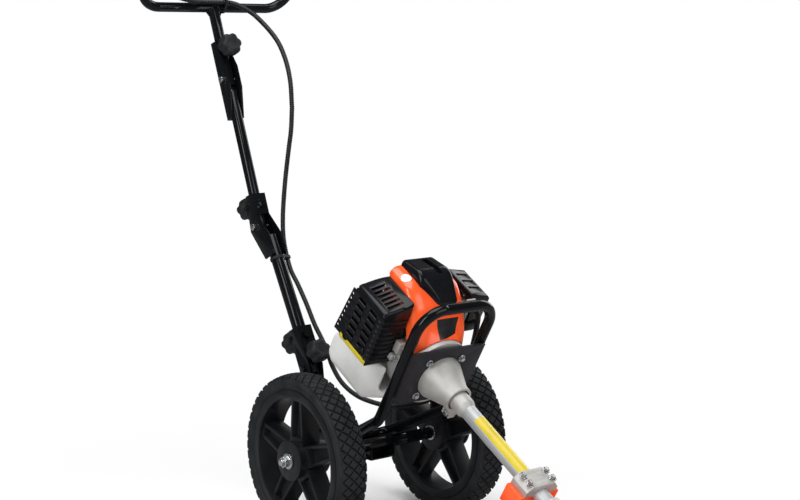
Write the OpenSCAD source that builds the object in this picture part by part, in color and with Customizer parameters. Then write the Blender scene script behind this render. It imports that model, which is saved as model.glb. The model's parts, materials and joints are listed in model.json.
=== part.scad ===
// Wheeled string trimmer: a two-stroke engine on a two-wheeled tube frame, a short drive tube with
// a line head ahead of the wheels, and a folding mast with a swept handlebar behind them.
// Millimetres. +Z up, the head points to -Y, the operator walks at +Y.

/* [Wheels] */
// Outer diameter of a wheel over its tread
wheel_d = 300; // [292:2:308]
// Width of a tyre
tyre_w = 58; // [48:1:68]
// Distance between the wheels' middle planes
track_w = 318; // [300:2:340]
// Diameter over the rim's lips
rim_d = 246; // [226:2:254]
// Diameter of the hub
hub_d = 66; // [58:1:74]
// Length of the hub along the axle
hub_len = 62; // [52:1:70]
// Number of spokes in a wheel
spokes = 5; // [4:1:7]
// Blocks of tread along one shoulder of a tyre
tread_blocks = 26; // [18:1:34]
// Diameter of the axle rod
axle_d = 12; // [10:0.5:14]

/* [Frame] */
// Diameter of the tube round the axle
axle_tube_d = 22; // [20:0.5:24]
// Length of the tube round the axle
axle_tube_len = 128; // [110:2:150]
// Diameter of the bent hoop tube
hoop_d = 19; // [16:0.5:20]
// Distance between the hoop's legs, middle to middle
hoop_w = 161; // [158:1:172]
// Height of the hoop's top bar over the crank axis
hoop_top = 140; // [132:1:150]
// Depth of the hoop's feet below the crank axis
hoop_drop = 99; // [92:1:106]
// Bend radius of the hoop's shoulders
hoop_bend = 45; // [36:1:54]
// Thickness of the plate that carries the engine
plate_t = 5; // [4:0.5:6]
// Width of the base bracket that carries the mast
base_w = 56; // [52:1:58]

/* [Engine and drive] */
// Slope of the crank and the drive tube below the horizontal
tilt = 31; // [30:0.5:32]
// Distance of the engine plate ahead of the axle
engine_ahead = 172; // [168:1:178]
// Height of the crank axis at the engine plate
engine_z = 302; // [298:1:306]
// Distance from the engine plate to the head's spindle along the tube
reach = 372; // [366:1:378]
// Outer diameter of the drive tube
tube_d = 28; // [26:0.5:29]
// Wall of the drive tube
tube_wall = 1.5; // [1:0.1:2]
// Spacing of the engine bolts, both ways
bolt_grid = 72; // [70:0.5:74]
// Diameter of the line head
head_d = 110; // [96:1:114]

/* [Mast] */
// Distance of the base pivot behind the axle
base_back = 200; // [190:1:210]
// Height of the base pivot
base_z = 258; // [250:1:266]
// Diameter of the lower mast tube
lower_d = 26; // [24:0.5:27]
// Diameter of the middle and upper mast tubes
mast_d = 22; // [20:0.5:22.5]
// Wall of the mast tubes
mast_wall = 1.5; // [1:0.1:2]
// Lean of the lower tube from the vertical
lower_lean = 29; // [27:0.5:31]
// Lean of the middle and upper tubes
upper_lean = 21; // [19:0.5:23]
// Length of the lower tube from pivot to pivot
lower_len = 302; // [290:1:314]
// Set-back of the middle tube's pivot behind the lower tube
mid_step = 20; // [18:0.5:22]
// Length of the middle tube from pivot to pivot
mid_len = 304; // [290:1:318]
// Length from the upper pivot to the handlebar
upper_len = 152; // [140:1:160]
// Diameter of a clamp knob over its lobes
knob_d = 45; // [38:1:46]

/* [Handlebar] */
// Diameter of the handlebar tube
bar_d = 19; // [17:0.5:20]
// Half of the straight crossbar
bar_half = 124; // [116:1:132]
// Bend radius of the handlebar
bar_bend = 48; // [42:1:52]
// Length of the rise from corner to corner
bar_rise = 142; // [138:1:150]
// Length of the swept-back run from corner to end
bar_run = 276; // [268:1:284]
// Length of a grip
grip_len = 122; // [110:1:126]
// Diameter of a grip
grip_d = 33; // [29:0.5:36]

/* [Hidden] */

// Clearances: a shaft that turns, two bodies that pass, two pieces that sit together, a cut's overrun
run_gap = 0.05;
pass_gap = 0.3;
seat_gap = 0.1;
over = 1;
$fn = 48;
fine = 72;
hull_fn = 32;

// Wheel sections
wheel_r = wheel_d / 2;
rim_r = rim_d / 2;
rim_lip_h = 6;
rim_seat_r = rim_r - rim_lip_h;
rim_wall = 9;
rim_in_r = rim_seat_r - rim_wall;
rim_inset = 4;
rim_half = tyre_w / 2 - rim_inset;
rim_lip_t = 3;
bead_half = rim_half - rim_lip_t;
tread_inset = 5;
tread_half = tyre_w / 2 - tread_inset;
crown = 4;
tread_depth = 4;
tread_cut = 6;
tread_slant = 32;
rib_half = 4;
arc_steps = 6;
hub_cap_t = 4;
spoke_hub_w = 38;
spoke_rim_w = 27;
spoke_depth = 36;
spoke_groove = 12;
spoke_wall = 5;
washer_t = 2.5;
washer_d = 28;
nut_t = 10;
nut_d = 21;
axle_tail = 5;
spacer_d = 16;
spacer_plug = 20;
hub_out = track_w / 2 + hub_len / 2 + hub_cap_t;
hub_in = track_w / 2 - hub_len / 2;
axle_len = 2 * (hub_out + pass_gap + washer_t + nut_t + axle_tail);

// Frame sections
plate_half_w = hoop_w / 2;
plate_up = 60;
plate_down = 52;
plate_chamfer = 16;
hoop_a = plate_t + hoop_d / 2 + seat_gap;
hoop_foot_bend = 36;
hoop_tail_bend = 25;
hoop_tail_x = 50;
hoop_wall = 1.5;
hoop_seam = 4;
elbow_in = 0.5;
elbow_out = 0.05;
loop_y = 37;
loop_rise = 7;
loop_z = wheel_r + loop_rise;
base_t = 3;
base_drop = 24;
base_floor_z = wheel_r - base_drop;
base_front = 20;
base_rear = 22;
foot_t = 4;
foot_half = 25;

// Mast sections
pivot_d = 8;
stud_d = 8;
stud_hole = 8.6;
stud_slack = 1.5;
cheek_t = 3;
web_t = 3;
tail = 14;
web_start = 22;
post_start = 8;
pad_d = 16;
pad_t = 6;
bolt_head_d = 14;
bolt_head_t = 6;
cheek_half = 17;
upper_stud = 62;
mid_stud = 44;
base_stud = 62;
base_press = 20;
web_top = 80;
mid_web_top = 64;
mid_end = 27;
lower_end = 30;
knob_h = 26;
knob_neck_h = 6;
knob_neck_d = 20;
knob_lobes = 6;
knob_core_share = 0.38;
knob_lobe_share = 0.15;
knob_turn_share = 0.1;
base_pivot = [base_back, base_z];
mid_pivot = lean_point(base_pivot, lower_lean, lower_len, mid_step);
upper_pivot = lean_point(mid_pivot, upper_lean, mid_len, 0);
post_in = lower_d / 2 + pass_gap;
mid_in = lower_d / 2 - cheek_t / 6;
upper_in = mast_d / 2 + pass_gap;

// Handlebar: a level crossbar, arms that rise forwards and outwards, and grips swept back
bar_at = lean_point(upper_pivot, upper_lean, upper_len, 0);
rise_shares = [0.2, -0.55, 0.811];
run_shares = [0.12, 0.985, -0.12];
bar_wall = 1.5;
rise_dir = unit(rise_shares);
run_dir = unit(run_shares);
bar_corner = [bar_half + bar_bend * tan(acos(rise_dir[0]) / 2), bar_at[0], bar_at[1]];
rise_end = bar_corner + bar_rise * rise_dir;
run_end = rise_end + bar_run * run_dir;
bar_cap = 4;
grip_ribs = 9;
grip_rib_d = 2;
housing_len = 44;
housing_d = 37;
housing_at = bar_run - grip_len - housing_len - pass_gap;
lever_t = 7;
lever_w = 12;
lever_len = 92;
lever_bow_share = 0.55;
lever_shares = [1.4, 2.4, 2.8, 3.8];
lever_drop = 27;
lever_pin_d = 5;
lever_ear = 4;
switch_w = 9;
switch_len = 14;
switch_h = 5;
switch_travel = 6;

// Engine sections, behind the plate (a), above the crank axis (u) and across (x)
case_r = 66;
case_wall = 4;
case_end = 58;
case_flange = 4;
bolt_d = 6;
bolt_head = 10;
bolt_head_h = 6;
ear_t = 4;
ear_back = plate_t + seat_gap + ear_t;
case_from = ear_back + seat_gap;
bolt_washer = 14;
bolt_washer_t = 1.6;
ear_reach = bolt_grid / 2 + bolt_d;
wheel_fan_r = 55;
fan_from = 22;
fan_to = 48;
fan_blades = 12;
blade_t = 2.4;
blade_h = 18;
crank_d = 14;
crank_end = 132;
crank_from = -20;
web_r = 34;
web_from = 80;
web_to = 102;
block_r = 44;
block_from = 62.5;
block_to = 116;
block_cavity_r = 36;
block_wall = 8;
deck_u = 46;
deck_half_x = 36;
deck_from = 68;
deck_to = 112;
sump_u = 52;
sump_half_x = 38;
cyl_a = 90;
cyl_bore_d = 42;
cyl_core_d = 50;
cyl_top = 104;
cyl_fins = 7;
fin_t = 2.6;
fin_half_x = 40;
fin_half_a = 24;
fin_first = 55;
fin_step = 7;
port_u = 76;
port_half_a = 17;
port_half_u = 15;
plug_d = 17;
plug_top = 126;
plug_stem_share = 0.6;
cover_left = -59.8;
cover_right = 56;
cover_wall = 2.5;
cover_front = 18;
cover_rear = 150;
cover_top = 134;
cover_floor = 68;
cheek_floor = 34;
front_shares = [[0, 0], [0.05, 0.2], [0.25, 0.5], [0.55, 0.75], [1, 1]];
volute_gap = 0.3;
volute_r = case_r + volute_gap + cover_wall;
cap_left = -36;
cap_right = 38;
cap_top = 151;
cap_lip = 118;
cap_wall = 2.6;
cap_slot_w = 11;
cap_slot_from = 100;
cap_rise = 6;
cap_shoulder = 12;
cap_edge = 9;
cap_cut = 28;
hood_step = 2;
hood_knee = cover_rear - case_end - hood_step;
muffler_gap = 5;
shield_out = -120;
shield_in = -60;
shield_front = 59;
shield_rear = 143;
shield_low = -13;
shield_high = 105;
shield_rise = 16;
lip_top = 7;
lip_low = 17;
lip_edge = 4;
shield_wall = 2.2;
shield_round = 12;
shield_slots = 7;
slot_w = 5;
vent_d = 5;
vents = 8;
slot_lead = 1.2;
slot_trail = 0.2;
carb_from = 56;
carb_to = 80;
filter_back = 86;
filter_out = 120;
filter_front = 66;
filter_rear = 141;
filter_low = 26;
filter_high = 118;
filter_drop = 8;
filter_round = 12;
recess_t = 3;
recess_share = 0.6;
bulb_d = 18;
bulb_h = 10;
bulb_press = 4;
bulb_round_share = 0.42;
swivel_d = 15;
swivel_h = 6;
swivel_share = 0.8;
starter_r = 58;
starter_to = 158;
starter_hollow_r = 30;
starter_slots = 12;
pull_a = 138;
pull_len = 64;
pull_d = 15;
pull_neck = 8;
tank_half_x = 90;
tank_low = -98;
tank_cut_a = 54;
tank_cut_x = 38;
tank_toe_a = 46;
tank_toe_u = 30;
tank_high = -16;
tank_front = 30;
tank_rear = 184;
tank_saddle_r = case_r + 2 * seat_gap;
tank_saddle_to = 160;
tank_round = 32;
tank_cap_d = 40;
tank_cap_h = 18;
tank_neck_d = 30;
tank_neck_h = 6;

// Drive sections, ahead of the plate along the tube
cone_r = 42;
plate_bore_d = 2 * (cone_r + 2 * seat_gap);
cone_foot = 7;
nose_r = 25.5;
nose_from = 50;
nose_to = 62;
drum_r = 31;
drum_wall = 2;
drum_from = 2;
drum_to = 20;
cone_cavity_r = 33;
cone_cavity_to = 22;
socket_from = 40;
socket_r = 21;
lug_half = 7;
lug_drop = 40;
lug_bolt_u = -(nose_r + lug_drop) / 2;
journal_d = 12;
shaft_d = 8;
shoe_r = 28.6;
shoe_in_r = 18.5;
shoe_from = 4;
shoe_to = 16;
shoe_hub_d = 20;
shoe_slot = 9;
tube_r = tube_d / 2;
tube_end = 30;
gear_teeth = 20;
pinion_teeth = 15;
cone_in = 12.5;
cone_out = 16.5;
tooth_add = 0.9;
tooth_ded = 1.7;
tooth_slot = 2.9;
gear_back = 5;
shaft_angle = 90 + tilt;
pinion_angle = atan2(sin(shaft_angle), gear_teeth / pinion_teeth + cos(shaft_angle));
gear_angle = shaft_angle - pinion_angle;
gear_r = 25;
gear_top = 22;
gear_low = -26;
gear_room_r = 19;
gear_room_low = -15;
gear_room_top = 14;
pinion_room_r = 15;
neck_r = 19;
neck_len = 52;
neck_wall = 5;
flange_d = 44;
flange_t = 5;
spindle_d = 12;
head_top = -33;
stand_h = 110.4;
head_cap_r = 50;
knob_r = 26;
knob_face_r = 18;
knob_chamfer = 8;
knob_rise = 6;
knob_in = 12;
eyelet_d = 5;
head_belly_share = 0.7;
eyelet_share = 0.45;
clamp_back = 116;
clamp_len = 38;
clamp_from = reach - clamp_back;
clamp_to = clamp_from + clamp_len;
clamp_half = 34;
clamp_h = 21;
clamp_bolt_x = 25;
clamp_bolt_inset = 10;
saddle_half = 42;
saddle_drop = 34;
stem_half = 24;
stem_drop = 78;
guard_in_r = 60;
guard_out_r = 150;
guard_in_z = -10;
guard_out_z = -18;
guard_low_z = -62;
guard_wall = 3;
guard_sweep = 130;

// Conduit: a black ribbed hose over the throttle cable
hose_d = 10;
hose_bore = 6.4;
hose_root_share = 0.8;
hose_sides = 8;
upright = 0.9;
tie_w = 5;
tie_t = 1.6;
tie_slack = 0.8;

// The hose's route, as points of the machine's own frame with the axle over the origin
route_upper = [[-185, 570, 1039], [-183, 552, 1041], [-178, 528, 1036], [-162, 512, 1012], [-135, 506, 982],
  [-98, 510, 960], [-50, 514, 950], [-5, 515, 949], [22, 515, 949], [33, 511, 948], [41, 490, 941],
  [44, 440, 921], [43, 372, 879], [42, 338, 840], [40, 318, 796], [38, 310, 745]];
route_middle = [[37.9, 310, 743.3], [36, 311, 702], [34, 317, 663], [31, 325, 604], [28, 329, 545],
  [26, 327, 506], [24, 320, 480], [22.1, 308.5, 455.1]];
route_lower = [[22, 308, 454], [22, 295, 430], [24, 275, 405], [26, 250, 370], [29, 229, 334], [33, 210, 306],
  [36, 196, 282], [39, 186, 258], [46, 168, 230], [56, 143, 210], [68, 112, 199], [82, 60, 196],
  [94, 0, 210], [102, -55, 234], [106, -95, 268], [108, -126, 308], [104, -146, 348], [93, -167, 382],
  [80, -183, 402], [70, -186, 414], [68, -176, 421]];
ribs_upper = 76;
ribs_middle = 38;
ribs_lower = 84;

// The part's origin lies under the middle of its box
spindle_y = -engine_ahead - reach * cos(tilt);
spindle_z = engine_z - reach * sin(tilt);
run_tilt = sqrt(1 - run_dir[1] * run_dir[1]);
front_y = spindle_y - head_d / 2;
rear_y = run_end[1] + bar_cap * run_dir[1] + grip_d / 2 * run_tilt;
origin_y = -(front_y + rear_y) / 2;

// A vector of length 1 along v
function unit(v) = v / norm(v);
// The value a share t of the way from a to b
function mix(a, b, t) = a + (b - a) * t;
// The point d along a line from p that leans back by lean, and off behind that line
function lean_point(p, lean, d, off) =
  [p[0] + d * sin(lean) + off * cos(lean), p[1] + d * cos(lean) - off * sin(lean)];
// The machine's place of a point x across, a behind the engine plate and u above the crank axis
function engine_point(x, a, u) =
  [x, -engine_ahead + a * cos(tilt) - u * sin(tilt), engine_z + a * sin(tilt) + u * cos(tilt)];
// The axes of a frame whose third axis is z and whose second axis points upwards
function frame_x(z) = unit(cross([0, 0, 1], z));
function frame_of(z, p) = let (x = frame_x(z), y = cross(z, x))
  [[x[0], y[0], z[0], p[0]], [x[1], y[1], z[1], p[1]], [x[2], y[2], z[2], p[2]], [0, 0, 0, 1]];

// Moves a piece from the frame under the axle to the part's own origin
module placed() {
  translate([0, origin_y, 0]) children();
}

// The engine's frame: x across, y backwards along the crank, z up from the crank axis
module engine_frame() {
  placed() translate([0, -engine_ahead, engine_z]) rotate([tilt, 0, 0]) children();
}

// A frame at distance s along the drive tube, its third axis pointing to the head
module on_shaft(s) {
  engine_frame() translate([0, -s, 0]) rotate([90, 0, 0]) children();
}

// The frame where the spindle's axis crosses the tube's, with the third axis up
module spindle_frame() {
  placed() translate([0, spindle_y, spindle_z]) children();
}

// A mast pivot's frame: x across, y backwards, z up along the leaning tube
module mast_frame(p, lean) {
  placed() translate([0, p[0], p[1]]) rotate([-lean, 0, 0]) children();
}

// The frame of a grip's straight run, its third axis pointing backwards; side is 1 or -1
module grip_frame(side) {
  way = [side * run_dir[0], run_dir[1], run_dir[2]];
  placed() multmatrix(frame_of(way, [side * rise_end[0], rise_end[1], rise_end[2]])) children();
}

// A wheel's frame: z along the axle and away from the machine; side is 1 or -1
module wheel_frame(side) {
  placed() translate([side * track_w / 2, 0, wheel_r]) rotate([0, side * 90, 0])
    rotate([0, 0, 90 + side * 90]) children();
}

// A cylinder across the machine, centred
module across(len, d) {
  rotate([0, 90, 0]) cylinder(h = len, d = d, center = true);
}

// A cylinder along y from y0 to y1
module fore_aft(y0, y1, d) {
  translate([0, y0, 0]) rotate([-90, 0, 0]) cylinder(h = y1 - y0, d = d);
}

// An outline in y and z, pulled across from x0 to x1
module side_profile(x0, x1) {
  translate([x0, 0, 0]) rotate([90, 0, 90]) linear_extrude(x1 - x0) children();
}

// An outline in x and z, pulled along y from y0 to y1
module front_profile(y0, y1) {
  translate([0, y1, 0]) rotate([90, 0, 0]) linear_extrude(y1 - y0) children();
}

// A box from one corner to the other
module block(low, high) {
  translate(low) cube(high - low);
}

// A flat rectangle with round corners
module rounded(low, high, r) {
  translate([low[0] + r, low[1]]) square([high[0] - low[0] - 2 * r, high[1] - low[1]]);
  translate([low[0], low[1] + r]) square([high[0] - low[0], high[1] - low[1] - 2 * r]);
  for (x = [low[0] + r, high[0] - r], y = [low[1] + r, high[1] - r])
    translate([x, y]) circle(r = r);
}

// A straight round bar between two points
module rod(a, b, d) {
  v = b - a;
  translate(a) rotate([0, acos(v[2] / norm(v)), atan2(v[1], v[0])]) cylinder(h = norm(v), d = d);
}

// A round bar through points, each inner corner bent to its own radius
module bent_bar(p, r, d) {
  n = len(p) - 1;
  way = [for (i = [0:n - 1]) unit(p[i + 1] - p[i])];
  turn = [for (i = [0:n]) i == 0 || i == n ? 0 : acos(way[i - 1] * way[i])];
  trim = [for (i = [0:n]) i == 0 || i == n ? 0 : r[i] * tan(turn[i] / 2)];
  for (i = [0:n - 1])
    rod(p[i] + (trim[i] - (i == 0 ? 0 : elbow_in)) * way[i],
      p[i + 1] - (trim[i + 1] - (i == n - 1 ? 0 : elbow_in)) * way[i], d);
  for (i = [1:n - 1]) {
    d1 = way[i - 1];
    inward = unit(way[i] - (way[i] * d1) * d1);
    axis = cross(d1, inward);
    hub = p[i] - trim[i] * d1 + r[i] * inward;
    multmatrix([for (k = [0:2]) [-inward[k], d1[k], axis[k], hub[k]]]) rotate_extrude(angle = turn[i])
      translate([r[i], 0]) circle(d = d + 2 * elbow_out);
  }
}

// Tyre: a round section with two rows of slanted blocks either side of a middle rib
module tyre(side) {
  steps = [for (k = [-arc_steps:arc_steps]) k / arc_steps];
  wall = [for (k = [1:arc_steps]) k / arc_steps];
  tread = [for (t = steps) [wheel_r - crown * t * t, t * tread_half]];
  bulge = tyre_w / 2 - tread_half + crown / 3;
  side_wall = [for (t = wall) [mix(wheel_r - crown, rim_r + seat_gap, t),
    mix(tread_half, bead_half + rim_lip_t / 2, t) + bulge * sin(180 * t)]];
  bead = [[rim_r + seat_gap, bead_half - seat_gap], [rim_seat_r + seat_gap, bead_half - seat_gap]];
  flank = concat(side_wall, bead);
  color("#26282a") wheel_frame(side) difference() {
    rotate_extrude($fn = fine)
      polygon(concat([for (k = [len(flank) - 1:-1:0]) [flank[k][0], -flank[k][1]]], tread, flank));
    for (row = [-1, 1], k = [0:tread_blocks - 1])
      rotate([0, 0, (k + row / 4) * 360 / tread_blocks])
        translate([wheel_r, 0, row * (rib_half + tyre_w / 2)]) rotate([row * tread_slant, 0, 0])
          cube([2 * (tread_depth + crown / 2), tread_cut, tyre_w], center = true);
  }
}

module tyre_left() {
  tyre(1);
}

module tyre_right() {
  tyre(-1);
}

// Rim: a moulded ring, hub and grooved spokes in one piece
module rim(side) {
  color("#1b1c1e") wheel_frame(side) difference() {
    union() {
      rotate_extrude($fn = fine)
        polygon([[rim_in_r, -rim_half], [rim_r, -rim_half], [rim_r, -bead_half],
          [rim_seat_r, -bead_half], [rim_seat_r, bead_half], [rim_r, bead_half],
          [rim_r, rim_half], [rim_in_r, rim_half]]);
      cylinder(h = hub_len, d = hub_d, center = true);
      translate([0, 0, hub_len / 2 - over]) cylinder(h = hub_cap_t + over, d = hub_d + hub_cap_t);
      for (k = [0:spokes - 1])
        rotate([0, 0, k * 360 / spokes]) spoke();
    }
    cylinder(h = 2 * hub_len, d = axle_d + 2 * run_gap, center = true);
  }
}

// One spoke from the hub to the ring, grooved on both faces
module spoke() {
  hub_edge = hub_d / 2 - spoke_wall;
  ring_edge = rim_in_r + spoke_wall;
  groove_from = hub_d / 2 + spoke_wall;
  groove_to = rim_in_r - spoke_wall;
  difference() {
    linear_extrude(spoke_depth, center = true)
      polygon([[hub_edge, -spoke_hub_w / 2], [ring_edge, -spoke_rim_w / 2],
        [ring_edge, spoke_rim_w / 2], [hub_edge, spoke_hub_w / 2]]);
    for (face = [-1, 1])
      translate([0, 0, face * spoke_depth / 2]) linear_extrude(2 * spoke_groove, center = true)
        polygon([[groove_from, spoke_wall - spoke_hub_w / 2], [groove_to, spoke_wall - spoke_rim_w / 2],
          [groove_to, spoke_rim_w / 2 - spoke_wall], [groove_from, spoke_hub_w / 2 - spoke_wall]]);
  }
}

module rim_left() {
  rim(1);
}

module rim_right() {
  rim(-1);
}

// Axle rod through both hubs
module axle() {
  color("#b9bcbe") placed() translate([0, 0, wheel_r]) across(axle_len, axle_d);
}

// Black tube round the middle of the axle
module axle_tube() {
  color("#141416") placed() translate([0, 0, wheel_r]) difference() {
    across(axle_tube_len, axle_tube_d);
    across(axle_tube_len + 2 * over, spacer_d + 2 * seat_gap);
  }
}

// Spacers, washers and nuts that hold the hubs on the axle, both sides
module axle_fasteners() {
  color("#c3c5c6")
    for (side = [-1, 1])
      placed() translate([0, 0, wheel_r]) rotate([0, side * 90, 0]) difference() {
        union() {
          translate([0, 0, axle_tube_len / 2 - spacer_plug])
            cylinder(h = hub_in - pass_gap - washer_t - axle_tube_len / 2 + spacer_plug, d = spacer_d);
          translate([0, 0, hub_in - pass_gap - washer_t]) cylinder(h = washer_t, d = washer_d);
          translate([0, 0, hub_out + pass_gap]) cylinder(h = washer_t, d = washer_d);
          translate([0, 0, hub_out + pass_gap + washer_t]) cylinder(h = nut_t, d = nut_d, $fn = 6);
        }
        cylinder(h = axle_len, d = axle_d + 2 * run_gap);
      }
}

// Half of the hoop's route, from its seam behind the axle tube to the top; side is 1 or -1
function hoop_half(side, seam) = [[side * seam / 2, loop_y, loop_z], [side * hoop_tail_x, loop_y, loop_z],
  engine_point(side * hoop_w / 2, hoop_a, -hoop_drop), engine_point(side * hoop_w / 2, hoop_a, hoop_top)];

// Hoop: one tube over the drive, down both sides of the plate and back round behind the axle tube
module hoop_tube(seam, d) {
  half = hoop_half(-1, seam);
  bent_bar(concat(hoop_half(1, seam), [for (k = [3:-1:0]) half[k]]),
    [0, hoop_tail_bend, hoop_foot_bend, hoop_bend, hoop_bend, hoop_foot_bend, hoop_tail_bend, 0], d);
}

module hoop_frame() {
  color("#141416") placed() difference() {
    hoop_tube(hoop_seam, hoop_d);
    hoop_tube(hoop_seam / 2, hoop_d - 2 * hoop_wall);
  }
}

// Places of the four engine bolts round the crank axis
module bolt_places() {
  for (x = [-1, 1], u = [-1, 1])
    translate([x * bolt_grid / 2, u * bolt_grid / 2, 0]) children();
}

// Plate across the hoop's legs, between the clutch housing and the fan case
module engine_plate() {
  color("#1a1a1d") engine_frame() difference() {
    front_profile(0, plate_t) polygon([[-plate_half_w, plate_up], [plate_half_w, plate_up],
      [plate_half_w, plate_chamfer - plate_down], [plate_half_w - plate_chamfer, -plate_down],
      [plate_chamfer - plate_half_w, -plate_down], [-plate_half_w, plate_chamfer - plate_down]]);
    fore_aft(-over, plate_t + over, plate_bore_d);
    rotate([90, 0, 0]) bolt_places()
      cylinder(h = 4 * plate_t, d = bolt_d + 2 * seat_gap, center = true);
  }
}

// Folded channel that carries the axle tube, the hoop's tail and the foot of the mast
module base_bracket() {
  rear = base_back + base_rear;
  color("#17171a") placed() difference() {
    block([-base_w / 2, -base_front, base_floor_z], [base_w / 2, rear, wheel_r]);
    block([base_t - base_w / 2, -base_front - over, base_floor_z + base_t],
      [base_w / 2 - base_t, rear + over, wheel_r + over]);
    translate([0, 0, wheel_r]) across(base_w + 2 * over, axle_tube_d + 2 * seat_gap);
    translate([0, loop_y, loop_z]) across(base_w + 2 * over, hoop_d + 2 * seat_gap);
  }
}

// Post with two cheeks and a front web, in which the lower mast tube swings
module mast_post() {
  foot_z = base_floor_z + base_t + seat_gap;
  top_rear = lean_point(base_pivot, lower_lean, web_top, cheek_half - cheek_t);
  top_front = lean_point(base_pivot, lower_lean, web_top, -cheek_half);
  knee_rear = lean_point(base_pivot, lower_lean, 0, cheek_half);
  knee_front = lean_point(base_pivot, lower_lean, 0, -cheek_half);
  foot_rear = [base_back - cheek_t, foot_z];
  foot_front = [base_back - 2 * cheek_half, foot_z];
  color("#17171a") difference() {
    union() {
      placed() {
        for (side = [-1, 1])
          translate([side * (post_in + cheek_t / 2) - cheek_t / 2, 0, 0]) side_profile(0, cheek_t)
            polygon([foot_front, foot_rear, knee_rear, top_rear, top_front, knee_front]);
        block([-foot_half + base_t, foot_front[0] - cheek_t, foot_z],
          [foot_half - base_t, foot_rear[0] + cheek_t, foot_z + foot_t]);
      }
      mast_frame(base_pivot, lower_lean) {
        block([-post_in - seat_gap, -post_in - web_t, post_start], [post_in + seat_gap, -post_in, web_top]);
        translate([0, 0, base_stud])
          fore_aft(-post_in - web_t - pad_t, -post_in - web_t + seat_gap, pad_d);
      }
    }
    mast_frame(base_pivot, lower_lean) {
      across(4 * lower_d, pivot_d + 2 * seat_gap);
      translate([0, 0, base_stud])
        fore_aft(-post_in - web_t, 0, stud_d + 2 * stud_slack);
      translate([0, 0, base_press])
        fore_aft(-post_in - 2 * web_t, 0, stud_d + 2 * run_gap);
    }
  }
}

// A pivot bolt across a pair of cheeks, with its head and nut
module pivot_bolt(inner) {
  grip = 2 * (inner + cheek_t + seat_gap);
  across(grip + 2 * bolt_head_t, pivot_d);
  for (side = [-1, 1])
    translate([side * (grip + bolt_head_t) / 2, 0, 0]) rotate([0, 90, 0])
      cylinder(h = bolt_head_t, d = bolt_head_d, center = true, $fn = 6);
}

module base_pivot_bolt() {
  color("#b9bcbe") mast_frame(base_pivot, lower_lean) pivot_bolt(post_in);
}

module mid_pivot_bolt() {
  color("#b9bcbe") mast_frame(mid_pivot, upper_lean) pivot_bolt(mid_in);
}

module upper_pivot_bolt() {
  color("#b9bcbe") mast_frame(upper_pivot, upper_lean) pivot_bolt(upper_in);
}

// Lower tube with the middle hinge's channel welded to its top, the web at the front
module lower_mast() {
  tube_top = lower_len - lower_end;
  hinge_low = tube_top - 4 * lower_end / 3;
  low = [for (off = [-cheek_half, cheek_half]) lean_point(base_pivot, lower_lean, hinge_low, off)];
  bend = [for (off = [-cheek_half, cheek_half]) lean_point(base_pivot, lower_lean, tube_top, off)];
  web_y = mast_d / 2 + pass_gap;
  waist = lean_point(mid_pivot, upper_lean, web_start, -web_y - web_t);
  top = [for (off = [-web_y - web_t, web_y - cheek_t]) lean_point(mid_pivot, upper_lean, mid_web_top, off)];
  heel = lean_point(mid_pivot, upper_lean, -tail / 2, cheek_half);
  color("#141416") difference() {
    union() {
      mast_frame(base_pivot, lower_lean) translate([0, 0, -tail])
        cylinder(h = tube_top + tail, d = lower_d);
      for (side = [-1, 1])
        placed() translate([side * (mid_in + cheek_t / 2) - cheek_t / 2, 0, 0]) side_profile(0, cheek_t)
          polygon([low[0], low[1], heel, top[1], top[0], waist, bend[0]]);
      mast_frame(mid_pivot, upper_lean) {
        block([-mid_in - seat_gap, -web_y - web_t, web_start], [mid_in + seat_gap, -web_y, mid_web_top]);
        translate([0, 0, mid_stud])
          fore_aft(-web_y - web_t - pad_t, -web_y - web_t + seat_gap, pad_d);
      }
    }
    mast_frame(base_pivot, lower_lean) {
      translate([0, 0, -tail - over])
        cylinder(h = tube_top + tail + 2 * over, d = lower_d - 2 * mast_wall);
      across(2 * lower_d, pivot_d + 2 * run_gap);
      translate([0, 0, base_stud])
        fore_aft(-lower_d, lower_d, stud_hole);
    }
    mast_frame(mid_pivot, upper_lean) {
      across(4 * lower_d, pivot_d + 2 * seat_gap);
      translate([0, 0, mid_stud])
        fore_aft(-web_y - web_t, 0, stud_d + 2 * stud_slack);
    }
  }
}

// Middle tube with the upper hinge's channel welded to its top, the web at the back
module mid_mast() {
  tube_top = mid_len - mid_end;
  hinge_low = tube_top - 2 * mid_end;
  web_y = mast_d / 2 + pass_gap;
  sink = mast_d / 2 - pass_gap;
  edge = web_y + web_t;
  belly = cheek_half + cheek_t;
  color("#141416") difference() {
    union() {
      mast_frame(mid_pivot, upper_lean) translate([0, 0, -tail])
        cylinder(h = tube_top + tail, d = mast_d);
      for (side = [-1, 1])
        mast_frame(mid_pivot, upper_lean)
          translate([side * (upper_in + cheek_t / 2) - cheek_t / 2, 0, 0]) side_profile(0, cheek_t)
            polygon([[-cheek_t, hinge_low], [edge, hinge_low], [edge, mid_len + web_top],
              [0, mid_len + web_top], [-belly, mid_len + web_start], [-belly, mid_len - web_start]]);
      mast_frame(mid_pivot, upper_lean) {
        block([-upper_in - cheek_t, sink, hinge_low], [upper_in + cheek_t, edge, tube_top]);
        block([-upper_in - cheek_t, web_y, mid_len + web_start],
          [upper_in + cheek_t, edge, mid_len + web_top]);
        translate([0, 0, mid_len + upper_stud])
          fore_aft(edge - seat_gap, edge + pad_t, pad_d);
      }
    }
    mast_frame(mid_pivot, upper_lean) {
      translate([0, 0, -tail - over])
        cylinder(h = tube_top + tail + 2 * over, d = mast_d - 2 * mast_wall);
      across(2 * lower_d, pivot_d + 2 * run_gap);
      translate([0, 0, mid_stud])
        fore_aft(-mast_d, mast_d, stud_hole);
      translate([0, 0, mid_len]) across(4 * mast_d, pivot_d + 2 * seat_gap);
      translate([0, 0, mid_len + upper_stud])
        fore_aft(0, edge, stud_d + 2 * stud_slack);
    }
  }
}

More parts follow.
